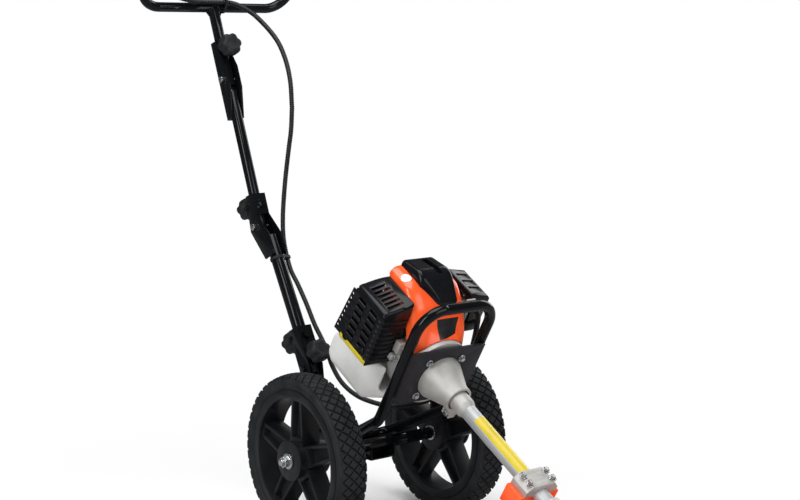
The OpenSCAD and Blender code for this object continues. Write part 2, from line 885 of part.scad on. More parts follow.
// The corner points of the whole handlebar, from one grip's end to the other's
function bar_points(extra) = let (
  far_end = run_end + extra * run_dir,
  half = [far_end, rise_end, bar_corner])
  concat(half, [for (k = [2:-1:0]) [-half[k][0], half[k][1], half[k][2]]]);

// Upper mast tube welded to the swept handlebar
module handle_frame() {
  bends = [0, bar_bend, bar_bend, bar_bend, bar_bend, 0];
  color("#141416") difference() {
    union() {
      mast_frame(upper_pivot, upper_lean) translate([0, 0, -tail])
        cylinder(h = upper_len + tail, d = mast_d);
      placed() bent_bar(bar_points(0), bends, bar_d);
    }
    mast_frame(upper_pivot, upper_lean) {
      translate([0, 0, -tail - over])
        cylinder(h = upper_len + tail - bar_d, d = mast_d - 2 * mast_wall);
      across(2 * mast_d, pivot_d + 2 * run_gap);
      translate([0, 0, upper_stud])
        fore_aft(-mast_d, mast_d, stud_hole);
    }
    placed() bent_bar(bar_points(over), bends, bar_d - 2 * bar_wall);
  }
}

// A lobed clamp knob with its stud; the stud's tip is at the origin and z runs to the knob
module knob(stud_len) {
  core = knob_d * knob_core_share;
  lobe = knob_d * knob_lobe_share;
  cylinder(h = stud_len + knob_neck_h + knob_h / 2, d = stud_d);
  translate([0, 0, stud_len]) cylinder(h = knob_neck_h + knob_h / 2, d = knob_neck_d);
  translate([0, 0, stud_len + knob_neck_h]) linear_extrude(knob_h) {
    circle(r = core);
    for (k = [0:knob_lobes - 1])
      rotate((k + knob_turn_share) * 360 / knob_lobes) translate([knob_d / 2 - lobe, 0]) circle(r = lobe);
  }
}

module knob_upper() {
  web_y = mast_d / 2 + pass_gap + web_t;
  color("#1d1d20") mast_frame(upper_pivot, upper_lean) translate([0, web_y - pass_gap, upper_stud])
    rotate([90, 0, 0]) knob(web_y + mast_d / 2);
}

module knob_mid() {
  web_y = mast_d / 2 + pass_gap + web_t;
  color("#1d1d20") mast_frame(mid_pivot, upper_lean) translate([0, pass_gap - web_y, mid_stud])
    rotate([-90, 0, 0]) knob(web_y + mast_d / 2);
}

module knob_base_rear() {
  color("#1d1d20") mast_frame(base_pivot, lower_lean)
    translate([0, pass_gap - post_in - web_t, base_stud]) rotate([-90, 0, 0])
      knob(post_in + web_t + lower_d / 2);
}

// Pressure screw in the post's web that takes up the play of the lower tube
module knob_base_front() {
  color("#1d1d20") mast_frame(base_pivot, lower_lean) translate([0, -post_in, base_press])
    rotate([90, 0, 0]) knob(2 * web_t);
}

// Strap of a cable tie round the hose and the tube it is tied to, both lying along y
module tie_strap(tube, spread) {
  difference() {
    hull() {
      across(tie_w, tube + 2 * (tie_t + seat_gap), $fn = hull_fn);
      translate(spread) across(tie_w, hose_d + 2 * (tie_t + tie_slack), $fn = hull_fn);
    }
    hull() {
      across(tie_w + 2 * over, tube + 2 * seat_gap, $fn = hull_fn);
      translate(spread) across(tie_w + 2 * over, hose_d + 2 * tie_slack, $fn = hull_fn);
    }
  }
}

// Tie that holds the hose to the crossbar
module tie_upper() {
  at = route_upper[8];
  color("#101012") placed() translate([at[0], bar_at[0], bar_at[1]])
    tie_strap(bar_d, [0, at[1] - bar_at[0], at[2] - bar_at[1]]);
}

// Tie that holds the hose to the lower mast tube
module tie_lower() {
  at = route_middle[len(route_middle) - 1];
  rise = at[2] - base_z;
  along = rise / cos(lower_lean) + (at[1] - base_back - rise * tan(lower_lean)) * sin(lower_lean);
  color("#101012") mast_frame(base_pivot, lower_lean) translate([0, 0, along]) rotate([0, 90, 0])
    tie_strap(lower_d, [0, 0, at[0]]);
}

// Both rubber grips, closed at their ends and ribbed along the hand's length
module grips() {
  color("#1a1a1c")
    for (side = [-1, 1])
      grip_frame(side) translate([0, 0, bar_run - grip_len]) difference() {
        union() {
          cylinder(h = grip_len + bar_cap, d = grip_d - 2 * grip_rib_d);
          for (k = [0:grip_ribs - 1])
            translate([0, 0, (k + 1 / 4) * grip_len / grip_ribs])
              cylinder(h = grip_len / grip_ribs / 2, d = grip_d);
        }
        translate([0, 0, -over]) cylinder(h = grip_len + over + seat_gap, d = bar_d + 2 * seat_gap);
      }
}

// Clamp housing of the throttle on the operator's right grip, with the lever's ears and the switch's slot
module throttle_housing() {
  ear_half = lever_w / 2 + pass_gap + lever_ear;
  color("#1c1c1f") grip_frame(-1) translate([0, 0, housing_at]) difference() {
    union() {
      cylinder(h = housing_len, d = housing_d);
      block([-ear_half, -lever_drop - lever_t, 0], [ear_half, 0, 2 * lever_t + lever_ear]);
      block([-switch_w, 0, 0], [switch_w, housing_d / 2 + switch_h, housing_len]);
      translate(hose_seat()) cylinder(h = housing_len / 2, d = hose_d + 2 * lever_ear);
    }
    translate([0, 0, -over]) cylinder(h = housing_len + 2 * over, d = bar_d + 2 * seat_gap);
    block([-lever_w / 2 - pass_gap, -2 * housing_d, -over],
      [lever_w / 2 + pass_gap, pass_gap - housing_d / 2, housing_len + over]);
    translate([0, -lever_drop, lever_t + lever_ear / 2])
      across(housing_d * 2, lever_pin_d + 2 * run_gap);
    block([-switch_w / 2 - pass_gap, housing_d / 2, housing_len / 4],
      [switch_w / 2 + pass_gap, 2 * housing_d,
        housing_len / 4 + switch_len + switch_travel + 2 * pass_gap]);
    translate(hose_seat() - [0, 0, over])
      cylinder(h = housing_len / 4 + over, d = hose_d + 2 * tie_slack);
  }
}

// Where the hose enters the throttle housing, in the housing's own frame
function hose_seat() = [-housing_d / 2 - hose_d / 4, 0, 0];

// Throttle lever under the grip, on its pin
module throttle_trigger() {
  bow = lever_len * lever_bow_share;
  dip = lever_t * lever_shares;
  color("#232326") grip_frame(-1)
    translate([0, -lever_drop, housing_at + lever_t + lever_ear / 2]) {
      across(lever_w + 2 * lever_ear, lever_pin_d);
      across(lever_w, lever_t + lever_pin_d);
      side_profile(-lever_w / 2, lever_w / 2)
        polygon([[-lever_t / 2, 0], [lever_t / 2, 0], [-dip[0], bow], [-dip[2], lever_len],
          [-dip[3], lever_len], [-dip[1], bow]]);
    }
}

// Sliding stop switch on top of the throttle housing
module stop_switch() {
  color("#c0392b") grip_frame(-1) translate([0, 0, housing_at + housing_len / 4 + pass_gap])
    block([-switch_w / 2, housing_d / 2 + pass_gap, 0],
      [switch_w / 2, housing_d / 2 + 2 * switch_h, switch_len]);
}

// Fan case: a cast dish round the flywheel with four bosses for the engine bolts
module fan_case() {
  from = case_from;
  color("#b4b6b8") engine_frame() difference() {
    fore_aft(from, case_end, 2 * case_r);
    fore_aft(from + case_flange, case_end + over, 2 * (case_r - case_wall));
    fore_aft(from - over, case_end, plate_bore_d);
    rotate([90, 0, 0]) bolt_places()
      cylinder(h = 4 * case_from, d = bolt_d + 2 * run_gap, center = true);
  }
}

// Crankcase with its front flange, cylinder deck and sump foot
module crankcase() {
  color("#9fa1a4") engine_frame() difference() {
    union() {
      fore_aft(case_end + seat_gap, block_from, 2 * case_r);
      fore_aft(block_from, block_to, 2 * block_r);
      block([-deck_half_x, deck_from, 0], [deck_half_x, deck_to, deck_u]);
      block([-sump_half_x, deck_from, -sump_u], [sump_half_x, deck_to, 0]);
    }
    fore_aft(block_from + block_wall, block_to - block_wall, 2 * block_cavity_r);
    fore_aft(case_end, block_to + over, crank_d + 2 * run_gap);
    translate([0, cyl_a, 0]) cylinder(h = deck_u + over, d = cyl_bore_d);
  }
}

// Finned cylinder with its exhaust and intake ports
module cylinder_body() {
  base = deck_u + seat_gap;
  difference() {
    union() {
      translate([0, cyl_a, base]) cylinder(h = cyl_top - base, d = cyl_core_d);
      block([-deck_half_x, deck_from, base], [deck_half_x, deck_to, base + fin_step / 2]);
      for (k = [0:cyl_fins - 1])
        translate([0, cyl_a, fin_first + k * fin_step]) linear_extrude(fin_t)
          rounded([-fin_half_x, -fin_half_a], [fin_half_x, fin_half_a], fin_step);
      block([-cover_wall - fin_half_x - fin_step, cyl_a - port_half_a, port_u - port_half_u],
        [fin_half_x + cover_wall + seat_gap, cyl_a + port_half_a, port_u + port_half_u]);
    }
    translate([0, cyl_a, base - over]) cylinder(h = cyl_top - base - fin_step, d = cyl_bore_d);
  }
}

module cylinder_node() {
  color("#a8aaac") engine_frame() cylinder_body();
}

// Crankshaft with its webs and the bladed flywheel keyed to it
module crankshaft() {
  color("#8e9194") engine_frame() {
    fore_aft(plate_t, crank_end, crank_d);
    fore_aft(web_from, web_to, 2 * web_r);
    fore_aft(fan_to - blade_t * 2, fan_to, 2 * wheel_fan_r);
    fore_aft(fan_from, fan_to, 3 * crank_d);
    for (k = [0:fan_blades - 1])
      rotate([0, k * 360 / fan_blades, 0])
        block([crank_d, fan_to - blade_t - blade_h, -blade_t / 2],
          [wheel_fan_r, fan_to - blade_t, blade_t / 2]);
  }
}

// Centrifugal clutch: two shoes on a hub at the crank's nose
module clutch_shoes() {
  color("#7c7f82") on_shaft(0) difference() {
    union() {
      translate([0, 0, -plate_t + seat_gap]) cylinder(h = plate_t + shoe_to - seat_gap, d = shoe_hub_d);
      translate([0, 0, shoe_from]) difference() {
        cylinder(h = shoe_to - shoe_from, r = shoe_r);
        translate([0, 0, -over]) cylinder(h = shoe_to, r = shoe_in_r);
        block([-shoe_slot / 2, -2 * shoe_r, -over], [shoe_slot / 2, 2 * shoe_r, shoe_to]);
      }
      block([-shoe_r + shoe_slot, -shoe_slot / 2, shoe_from], [shoe_r - shoe_slot, shoe_slot / 2, shoe_to]);
    }
  }
}

// Side outline of the engine cover's hood, inset all round by t
module hood_outline(t) {
  low = cheek_floor - t * 4;
  front = [for (f = front_shares)
    [mix(cover_front, case_end, f[0]) + t, mix(low, cap_lip - cap_rise - t, f[1])]];
  polygon(concat(front, [[hood_knee + t, cover_top - t], [cover_rear - t, cover_top - t],
    [cover_rear - t, cover_floor - t * 4], [case_end + t, cover_floor - t * 4], [case_end + t, low]]));
}

// Orange cover: a half volute round the fan case that runs up into a hood over the cylinder
module engine_cover() {
  shoulder = cover_top - (cap_left - cover_left) / 2;
  color("#e8572a") engine_frame() difference() {
    union() {
      intersection() {
        fore_aft(cover_front, case_end, 2 * volute_r);
        block([-2 * volute_r, 0, cheek_floor], [2 * volute_r, cover_rear, 2 * volute_r]);
      }
      intersection() {
        side_profile(cover_left, cover_right) hood_outline(0);
        front_profile(0, cover_rear)
          polygon([[cover_left, 0], [cover_right, 0], [cover_right, shoulder], [-cap_left, cover_top],
            [cap_left, cover_top], [cover_left, shoulder]]);
      }
    }
    fore_aft(0, case_end + over, 2 * (case_r + volute_gap));
    intersection() {
      side_profile(cover_left + cover_wall, cover_right - cover_wall) hood_outline(cover_wall);
      front_profile(0, cover_rear) polygon([[cover_left + cover_wall, 0], [cover_right - cover_wall, 0],
        [cover_right - cover_wall, shoulder - cover_wall], [-cap_left, cover_top - cover_wall],
        [cap_left, cover_top - cover_wall], [cover_left + cover_wall, shoulder - cover_wall]]);
    }
    block([2 * cover_left, cyl_a - port_half_a - fin_step, port_u - port_half_u - fin_step],
      [2 * cover_right, cyl_a + port_half_a + fin_step, port_u + port_half_u + fin_step / 2]);
  }
}

// Black cap over the plug, with a finger slot along its top
module top_cap() {
  under = cover_top + seat_gap;
  foot = cap_lip - cap_rise + seat_gap;
  color("#161618") engine_frame() difference() {
    intersection() {
      side_profile(cap_left, cap_right)
        polygon([[case_end, foot], [case_end, foot + cap_wall], [hood_knee - cap_rise, under + cap_rise],
          [hood_knee + cap_shoulder, cap_top], [cover_rear - cap_edge, cap_top - cap_edge],
          [cover_rear + cap_wall, under + cap_rise], [cover_rear + cap_wall, cap_lip],
          [cover_rear + seat_gap, cap_lip], [cover_rear + seat_gap, under], [hood_knee, under]]);
      front_profile(0, 2 * cover_rear)
        polygon([[cap_left, 0], [cap_right, 0], [cap_right, cover_top], [cap_right - cap_shoulder, cap_top],
          [cap_left + cap_shoulder, cap_top], [cap_left, cover_top]]);
      linear_extrude(2 * cap_top)
        polygon([[cap_left, 2 * cover_rear], [cap_left, hood_knee], [cap_left + cap_cut, case_end - over],
          [cap_right, case_end - over], [cap_right, 2 * cover_rear]]);
    }
    block([-cap_slot_w / 2, cap_slot_from, cap_top - cap_wall * 3],
      [cap_slot_w / 2, cover_rear - cap_wall * 3, 2 * cap_top]);
  }
}

// Spark plug in the cylinder's head
module spark_plug() {
  color("#d8d4cc") engine_frame() translate([0, cyl_a, cyl_top + seat_gap]) {
    cylinder(h = (plug_top - cyl_top) / 2, d = plug_d, $fn = 6);
    cylinder(h = plug_top - cyl_top, d = plug_d * plug_stem_share);
  }
}

// Muffler box on the exhaust port
module muffler() {
  from = shield_out + shield_wall + muffler_gap;
  port_face = -cover_wall - fin_half_x - fin_step - seat_gap;
  color("#6f6a66") engine_frame() {
    side_profile(from, shield_in - pass_gap)
      rounded([shield_front + 2 * muffler_gap, shield_low + 2 * muffler_gap],
        [shield_rear - 2 * muffler_gap, shield_high - 2 * muffler_gap], shield_round);
    block([shield_in - over, cyl_a - port_half_a, port_u - port_half_u + seat_gap],
      [port_face, cyl_a + port_half_a, port_u + port_half_u - seat_gap]);
  }
}

// The muffler guard's outer form, inset all round by t
module shield_form(t) {
  intersection() {
    side_profile(shield_out + t, shield_in + t)
      rounded([shield_front + t, shield_low + t], [shield_rear - t, shield_high + shield_rise - t],
        shield_round - t);
    front_profile(shield_front, shield_rear) {
      rounded([shield_out + t, shield_low + t], [shield_in + shield_round, shield_high - t],
        shield_round - t);
      polygon([[shield_out + shield_round, shield_high / 2], [shield_out + shield_round, shield_high - t],
        [shield_in + shield_round, shield_high + shield_rise + over - t],
        [shield_in + shield_round, shield_high / 2]]);
    }
  }
}

// Slotted guard over the muffler, open towards the engine, with a holed lip along its rear edge
module muffler_cover() {
  mid_a = (shield_front + shield_rear) / 2;
  run = shield_rear - shield_front;
  lip = [shield_low + shield_round, shield_high - shield_round];
  color("#151517") engine_frame() difference() {
    union() {
      difference() {
        shield_form(0);
        shield_form(shield_wall);
      }
      side_profile(shield_out, shield_out + shield_wall)
        polygon([[shield_rear - over, lip[0]], [shield_rear + lip_low, lip[0]],
          [shield_rear + lip_top, lip[1]], [shield_rear - over, lip[1]]]);
    }
    for (k = [0:shield_slots - 1], row = [-1, 1])
      translate([shield_out, mid_a + row * run / 5,
        mix(shield_low, shield_high, (k + slot_lead) / (shield_slots + slot_lead + slot_trail))])
        cube([4 * shield_wall, run / 4, slot_w], center = true);
    for (k = [0:shield_slots - 2])
      translate([(shield_out + shield_in) / 2,
        mix(shield_front, shield_rear, (k + slot_lead + slot_trail) / (shield_slots + slot_lead)),
        shield_high + shield_rise / 2])
        cube([(shield_in - shield_out) / 2, slot_w, 2 * shield_rise], center = true);
    for (k = [0:vents - 1])
      translate([shield_out, shield_rear - lip_edge + mix(lip_low, lip_top, (k + 1) / (vents + 1)),
        mix(lip[0], lip[1], (k + 1) / (vents + 1))])
        across(4 * shield_wall, vent_d);
    fore_aft(case_end, block_from + seat_gap, 2 * (case_r + seat_gap));
  }
}

// Carburettor with its insulator, filter plate and cable stop
module carburettor() {
  half = port_half_a + over;
  stop = cyl_a - half - 2 * fin_step;
  color("#8f9296") engine_frame() difference() {
    union() {
      block([fin_half_x + cover_wall + 2 * seat_gap, cyl_a - port_half_a, port_u - port_half_u],
        [carb_from, cyl_a + port_half_a, port_u + port_half_u]);
      block([carb_from, cyl_a - half, port_u - half - fin_step], [carb_to, cyl_a + half, port_u + half]);
      block([carb_to, filter_front + fin_t, filter_low + fin_t],
        [filter_back, filter_rear - fin_t, port_u + half]);
      block([carb_from + fin_t, stop, port_u + half - fin_t], [carb_to - fin_t, cyl_a, port_u + half]);
      block([carb_from + fin_t, stop, port_u + half - fin_t],
        [carb_to - fin_t, stop + fin_t, port_u + half + hose_d * 2]);
    }
    translate([(carb_from + carb_to) / 2, cyl_a, port_u - half - fin_step - over])
      cylinder(h = bulb_press + over + pass_gap, d = bulb_d + 2 * pass_gap);
  }
}

// Throttle swivel on the carburettor, pulled by the cable
module carb_lever() {
  arm = swivel_d * swivel_share;
  base = port_u + port_half_a + over + pass_gap;
  color("#c9cbcc") engine_frame() translate([(carb_from + carb_to) / 2, cyl_a, base]) {
    cylinder(h = swivel_h, d = swivel_d);
    block([0, -swivel_h / 2, 0], [arm, swivel_h / 2, swivel_h / 2]);
    translate([arm, 0, 0]) cylinder(h = swivel_h, d = swivel_h);
  }
}

// Black air filter cover, sloped on top with a recessed field
module air_filter_cover() {
  inner = carb_to - 2 * filter_round / 3;
  inside = filter_back + seat_gap;
  step = port_u + port_half_a + over + swivel_h + 2 * fin_t;
  slope = (filter_high - filter_drop - filter_high) / (filter_out - inner);
  color("#161618") engine_frame() difference() {
    intersection() {
      front_profile(filter_front, filter_rear)
        polygon([[inner, filter_high], [filter_out - filter_round / 2, filter_high - filter_drop],
          [filter_out, filter_high - filter_drop - filter_round / 2], [filter_out, filter_low + filter_round],
          [filter_out - filter_round, filter_low], [inside, filter_low], [inside, step], [inner, step]]);
      side_profile(0, 2 * filter_out)
        rounded([filter_front, filter_low], [filter_rear, 2 * filter_high], filter_round);
    }
    for (k = [0:2])
      translate([(inner + filter_out) / 2, mix(filter_front, filter_rear, (k + 1) / 4),
        filter_high - filter_drop / 2])
        rotate([0, -atan(slope), 0])
          cube([(filter_out - inner) * recess_share, (filter_rear - filter_front) / 6, 2 * recess_t],
            center = true);
  }
}

// Choke lever on the front of the filter plate
module choke_lever() {
  x = (carb_to + filter_back) / 2;
  u = filter_low + 2 * filter_round;
  color("#d9d9d6") engine_frame() translate([x, filter_front - pass_gap, u]) {
    fore_aft(-fin_t - over, fin_t, swivel_h - seat_gap);
    block([0, -fin_t - over, -swivel_h / 2], [2 * swivel_d, 0, swivel_h / 2]);
  }
}

// Rubber primer bulb under the carburettor
module primer_bulb() {
  color("#d8d2c4") engine_frame()
    translate([(carb_from + carb_to) / 2, cyl_a, port_u - port_half_a - over - fin_step - bulb_h + pass_gap])
      rotate_extrude()
        polygon([[0, 0], [bulb_d / 4, 0], [bulb_d * bulb_round_share, bulb_h / 4], [bulb_d / 2, bulb_h / 2],
          [bulb_d / 2, bulb_h], [0, bulb_h]]);
}

// Round recoil starter housing with radial air slots
module starter_housing() {
  from = block_to + seat_gap;
  edge = (starter_to - from) / 4;
  color("#18181b") engine_frame() difference() {
    translate([0, from, 0]) rotate([-90, 0, 0]) rotate_extrude($fn = fine)
      polygon([[0, 0], [starter_r, 0], [starter_r, starter_to - from - 2 * edge],
        [starter_r - edge, starter_to - from - edge / 2], [starter_r - 2 * edge, starter_to - from],
        [0, starter_to - from]]);
    fore_aft(from - over, crank_end + fin_step, 2 * starter_hollow_r);
    for (k = [0:starter_slots - 1])
      rotate([0, k * 360 / starter_slots, 0])
        block([starter_r / 2 + edge, starter_to - edge, -slot_w / 2],
          [starter_r - edge, starter_to + over, slot_w / 2]);
    translate([starter_r, pull_a, 0]) across(4 * pull_neck, pull_neck + 2 * pass_gap);
  }
}

// Pull handle of the recoil starter, at the housing's far side
module starter_handle() {
  color("#1b1b1e") engine_frame() translate([starter_r, pull_a, 0]) {
    translate([pass_gap + pull_d / 2, 0, 0])
      fore_aft(-pull_len / 2, pull_len / 2, pull_d);
    translate([pull_d / 4 - pull_neck, 0, 0]) across(2 * pull_neck, pull_neck);
  }
}

// Translucent fuel tank, saddled round the crankcase and the starter
module fuel_tank() {
  color("#dcdcd8") engine_frame() {
    difference() {
      intersection() {
        front_profile(tank_front, tank_rear)
          rounded([-tank_half_x, tank_low], [tank_half_x, tank_high], tank_round / 2);
        side_profile(-tank_half_x, tank_half_x)
          rounded([tank_front, tank_low], [tank_rear, tank_high], tank_round);
        side_profile(-tank_half_x, tank_half_x)
          polygon([[tank_front, tank_high], [tank_front, tank_low + tank_toe_u],
            [tank_front + tank_toe_a, tank_low], [tank_rear, tank_low], [tank_rear, tank_high]]);
        translate([0, 0, 2 * tank_low]) linear_extrude(-2 * tank_low)
          polygon([[-tank_half_x, tank_rear], [-tank_half_x, tank_front + tank_cut_a],
            [tank_cut_x - tank_half_x, tank_front], [tank_half_x - tank_cut_x, tank_front],
            [tank_half_x, tank_front + tank_cut_a], [tank_half_x, tank_rear]]);
      }
      block([-tank_saddle_r, 0, -tank_saddle_r], [tank_saddle_r, tank_saddle_to, tank_saddle_r]);
    }
    translate([0, 0, (tank_low + tank_high) / 2]) translate([tank_half_x / 2, 0, 0])
      fore_aft(tank_rear - tank_neck_h, tank_rear + tank_neck_h, tank_neck_d);
  }
}

// Screw cap on the tank's neck
module fuel_cap() {
  color("#1a1a1c") engine_frame() translate([tank_half_x / 2, 0, (tank_low + tank_high) / 2])
    difference() {
      fore_aft(tank_rear + pass_gap, tank_rear + tank_cap_h, tank_cap_d);
      fore_aft(tank_rear, tank_rear + tank_neck_h + pass_gap, tank_neck_d + 2 * pass_gap);
    }
}

// Engine bolts, housing clamp bolt and guard bolts
module bolts() {
  color("#c3c5c6") {
    on_shaft(0) bolt_places() {
      translate([0, 0, -case_from - case_flange]) cylinder(h = case_from + case_flange + over, d = bolt_d);
      translate([0, 0, seat_gap]) cylinder(h = bolt_washer_t, d = bolt_washer);
      translate([0, 0, seat_gap]) cylinder(h = bolt_washer_t + bolt_head_h, d = bolt_head, $fn = 6);
    }
    on_shaft((nose_from + nose_to) / 2) translate([0, lug_bolt_u, 0]) rotate([0, 90, 0]) {
      cylinder(h = 2 * (lug_half + bolt_head_h), d = bolt_d, center = true);
      for (side = [-1, 1])
        translate([0, 0, side * (lug_half + seat_gap + bolt_head_h / 2)])
          cylinder(h = bolt_head_h, d = bolt_head, center = true, $fn = 6);
    }
    guard_bolt_places() {
      translate([0, 0, -saddle_drop / 2]) cylinder(h = saddle_drop / 2 + clamp_h, d = bolt_d);
      translate([0, 0, clamp_h]) cylinder(h = bolt_head_h, d = bolt_head, $fn = 6);
    }
  }
}

// Clutch housing: a cast cone through the plate, its flange behind it
module clutch_housing() {
  color("#bfc1c2") on_shaft(0) difference() {
    union() {
      rotate_extrude($fn = fine)
        polygon([[0, -ear_back], [cone_r, -ear_back], [cone_r, cone_foot], [nose_r, nose_from],
          [nose_r, nose_to], [0, nose_to]]);
      translate([0, 0, -ear_back]) {
        bolt_places() cylinder(h = ear_t, d = 2 * bolt_head);
        linear_extrude(ear_t)
          rounded([-ear_reach, -ear_reach], [ear_reach, ear_reach], bolt_d);
      }
      block([-lug_half, -lug_drop, nose_from - cone_foot], [lug_half, 0, nose_to]);
    }
    translate([0, 0, -ear_back - over]) cylinder(h = cone_cavity_to + ear_back + over, r = cone_cavity_r);
    cylinder(h = nose_to, d = journal_d + 2 * run_gap);
    translate([0, 0, socket_from]) cylinder(h = nose_to, r = socket_r);
    bolt_places() cylinder(h = 4 * ear_back, d = bolt_d + 2 * seat_gap, center = true);
    translate([0, lug_bolt_u, (nose_from + nose_to) / 2]) across(4 * lug_half, bolt_d + 2 * seat_gap);
  }
}

// Rubber ring that holds the tube in the housing's nose
module damper_bush() {
  color("#111113") on_shaft(socket_from + seat_gap) difference() {
    cylinder(h = nose_to - socket_from - bolt_d, r = socket_r - seat_gap);
    translate([0, 0, -over]) cylinder(h = nose_to, r = tube_r + seat_gap);
  }
}

// Aluminium drive tube
module drive_tube() {
  from = socket_from + seat_gap;
  color("#c9cbcb") on_shaft(from) difference() {
    cylinder(h = reach - tube_end - from, r = tube_r);
    translate([0, 0, -over]) cylinder(h = reach, r = tube_r - tube_wall);
  }
}

// A bevel gear's cone with straight slots; the apex is at the origin, z runs away from it
module bevel(teeth, angle) {
  tip_in = [cone_in * sin(angle) + tooth_add * cos(angle), cone_in * cos(angle) - tooth_add * sin(angle)];
  tip_out = [cone_out * sin(angle) + tooth_add * cos(angle), cone_out * cos(angle) - tooth_add * sin(angle)];
  difference() {
    rotate_extrude()
      polygon([[0, tip_in[1]], tip_in, tip_out, [tip_out[0] - tooth_add, tip_out[1] + gear_back],
        [0, tip_out[1] + gear_back]]);
    for (k = [0:teeth - 1])
      rotate([0, 0, k * 360 / teeth]) rotate([0, angle, 0])
        block([-tooth_ded, -tooth_slot / 2, cone_in - tooth_ded],
          [2 * tooth_ded, tooth_slot / 2, cone_out + gear_back]);
  }
}

// Clutch drum, journal, long shaft and pinion, which turn together
module drive_shaft() {
  pinion_foot = cone_in * cos(pinion_angle);
  color("#a6a9ab") {
    on_shaft(0) {
      difference() {
        translate([0, 0, drum_from]) cylinder(h = drum_to - drum_from, r = drum_r);
        translate([0, 0, 0]) cylinder(h = drum_to - drum_wall, r = drum_r - drum_wall);
      }
      translate([0, 0, drum_to - over]) cylinder(h = socket_from - drum_to + over, d = journal_d);
      translate([0, 0, drum_to]) cylinder(h = reach - pinion_foot - drum_to - over, d = shaft_d);
    }
    on_shaft(reach) rotate([180, 0, 0]) rotate([0, 0, -90]) bevel(pinion_teeth, pinion_angle);
  }
}

// Cast gear case: an upright barrel and a neck clamped on the tube
module gear_case() {
  color("#b4b6b8") difference() {
    union() {
      spindle_frame() rotate_extrude($fn = fine)
        polygon([[0, gear_low], [gear_r, gear_low], [gear_r, gear_top / 2], [gear_r / 2, gear_top],
          [0, gear_top]]);
      on_shaft(reach - neck_len) cylinder(h = neck_len - pinion_room_r, r = neck_r);
    }
    spindle_frame() {
      translate([0, 0, gear_room_low]) cylinder(h = gear_room_top - gear_room_low, r = gear_room_r);
      translate([0, 0, 2 * gear_low]) cylinder(h = -2 * gear_low, d = spindle_d + 2 * run_gap);
    }
    on_shaft(reach - tube_end + neck_wall) {
      cylinder(h = tube_end - neck_wall, r = pinion_room_r);
      translate([0, 0, -2 * neck_wall]) cylinder(h = tube_end, d = shaft_d + 2 * run_gap);
    }
    on_shaft(reach - neck_len - over)
      cylinder(h = neck_len - tube_end + over + seat_gap, r = tube_r + seat_gap);
  }
}

// Upright spindle with the bevel gear on its top and the drive flange below the case
module spindle() {
  color("#9da0a2") spindle_frame() {
    rotate([180, 0, 0]) rotate([0, 0, -90]) bevel(gear_teeth, gear_angle);
    translate([0, 0, head_top - knob_in])
      cylinder(h = -head_top + knob_in - cone_in * cos(gear_angle) - over, d = spindle_d);
    translate([0, 0, head_top]) cylinder(h = flange_t, d = flange_d);
  }
}

// Line head: a round body with two eyelets, open below for the bump knob
module head_body() {
  low = knob_chamfer + knob_rise * 2 - stand_h;
  top = head_top - seat_gap;
  belly = mix(top, low, head_belly_share);
  color("#1a1a1d") spindle_frame() difference() {
    rotate_extrude($fn = fine)
      polygon([[0, top], [flange_d / 2 + knob_rise, top], [head_d / 2, top - knob_in], [head_d / 2, belly],
        [head_cap_r, low], [0, low]]);
    translate([0, 0, head_top - knob_in - seat_gap])
      cylinder(h = 2 * knob_in, d = spindle_d + 2 * seat_gap);
    translate([0, 0, 2 * low])
      cylinder(h = -low + knob_in + knob_rise + pass_gap, r = knob_r + pass_gap);
    translate([0, 0, mix(top, low, eyelet_share)])
      for (side = [-1, 1])
        translate([side * head_d / 2, 0, 0]) across(2 * knob_in, eyelet_d);
  }
}

// Bump knob under the head, flat where it stands on the ground
module bump_knob() {
  low = -stand_h;
  high = knob_chamfer + knob_rise * 2 + knob_in - stand_h;
  color("#e8572a") spindle_frame() rotate_extrude($fn = fine)
    polygon([[0, low], [knob_face_r, low], [knob_r, low + knob_chamfer], [knob_r, high], [0, high]]);
}

// Places of the guard's four bolts, z pointing up from the tube's axis
module guard_bolt_places() {
  for (x = [-1, 1], s = [clamp_from + clamp_bolt_inset, clamp_to - clamp_bolt_inset])
    engine_frame() translate([x * clamp_bolt_x, -s, 0]) children();
}

// Orange guard: a saddle under the tube, a stem, and a skirted fan behind the head
module guard() {
  top_in = [guard_in_r, guard_in_z];
  top_out = [guard_out_r, guard_out_z];
  color("#e8572a") difference() {
    union() {
      engine_frame() {
        block([-saddle_half, -clamp_to, -saddle_drop], [saddle_half, -clamp_from, -seat_gap]);
        block([-stem_half, -clamp_to, -stem_drop],
          [stem_half, -clamp_from - clamp_bolt_inset, -saddle_drop + over]);
      }
      spindle_frame() rotate([0, 0, 90 - guard_sweep / 2])
        rotate_extrude(angle = guard_sweep, $fn = fine)
          polygon([top_in, top_out, [guard_out_r, guard_low_z], [guard_out_r - guard_wall, guard_low_z],
            [guard_out_r - guard_wall, guard_out_z - guard_wall], [guard_in_r, guard_in_z - guard_wall]]);
    }
    on_shaft(clamp_from - over) cylinder(h = clamp_to - clamp_from + 2 * over, r = tube_r + seat_gap);
    spindle_frame() translate([0, 0, 2 * guard_low_z])
      cylinder(h = -2 * guard_low_z + guard_out_z - guard_wall, r = guard_out_r - guard_wall - over);
    guard_bolt_places() translate([0, 0, -saddle_drop / 2 - seat_gap])
      cylinder(h = saddle_drop, d = bolt_d + 2 * seat_gap);
  }
}

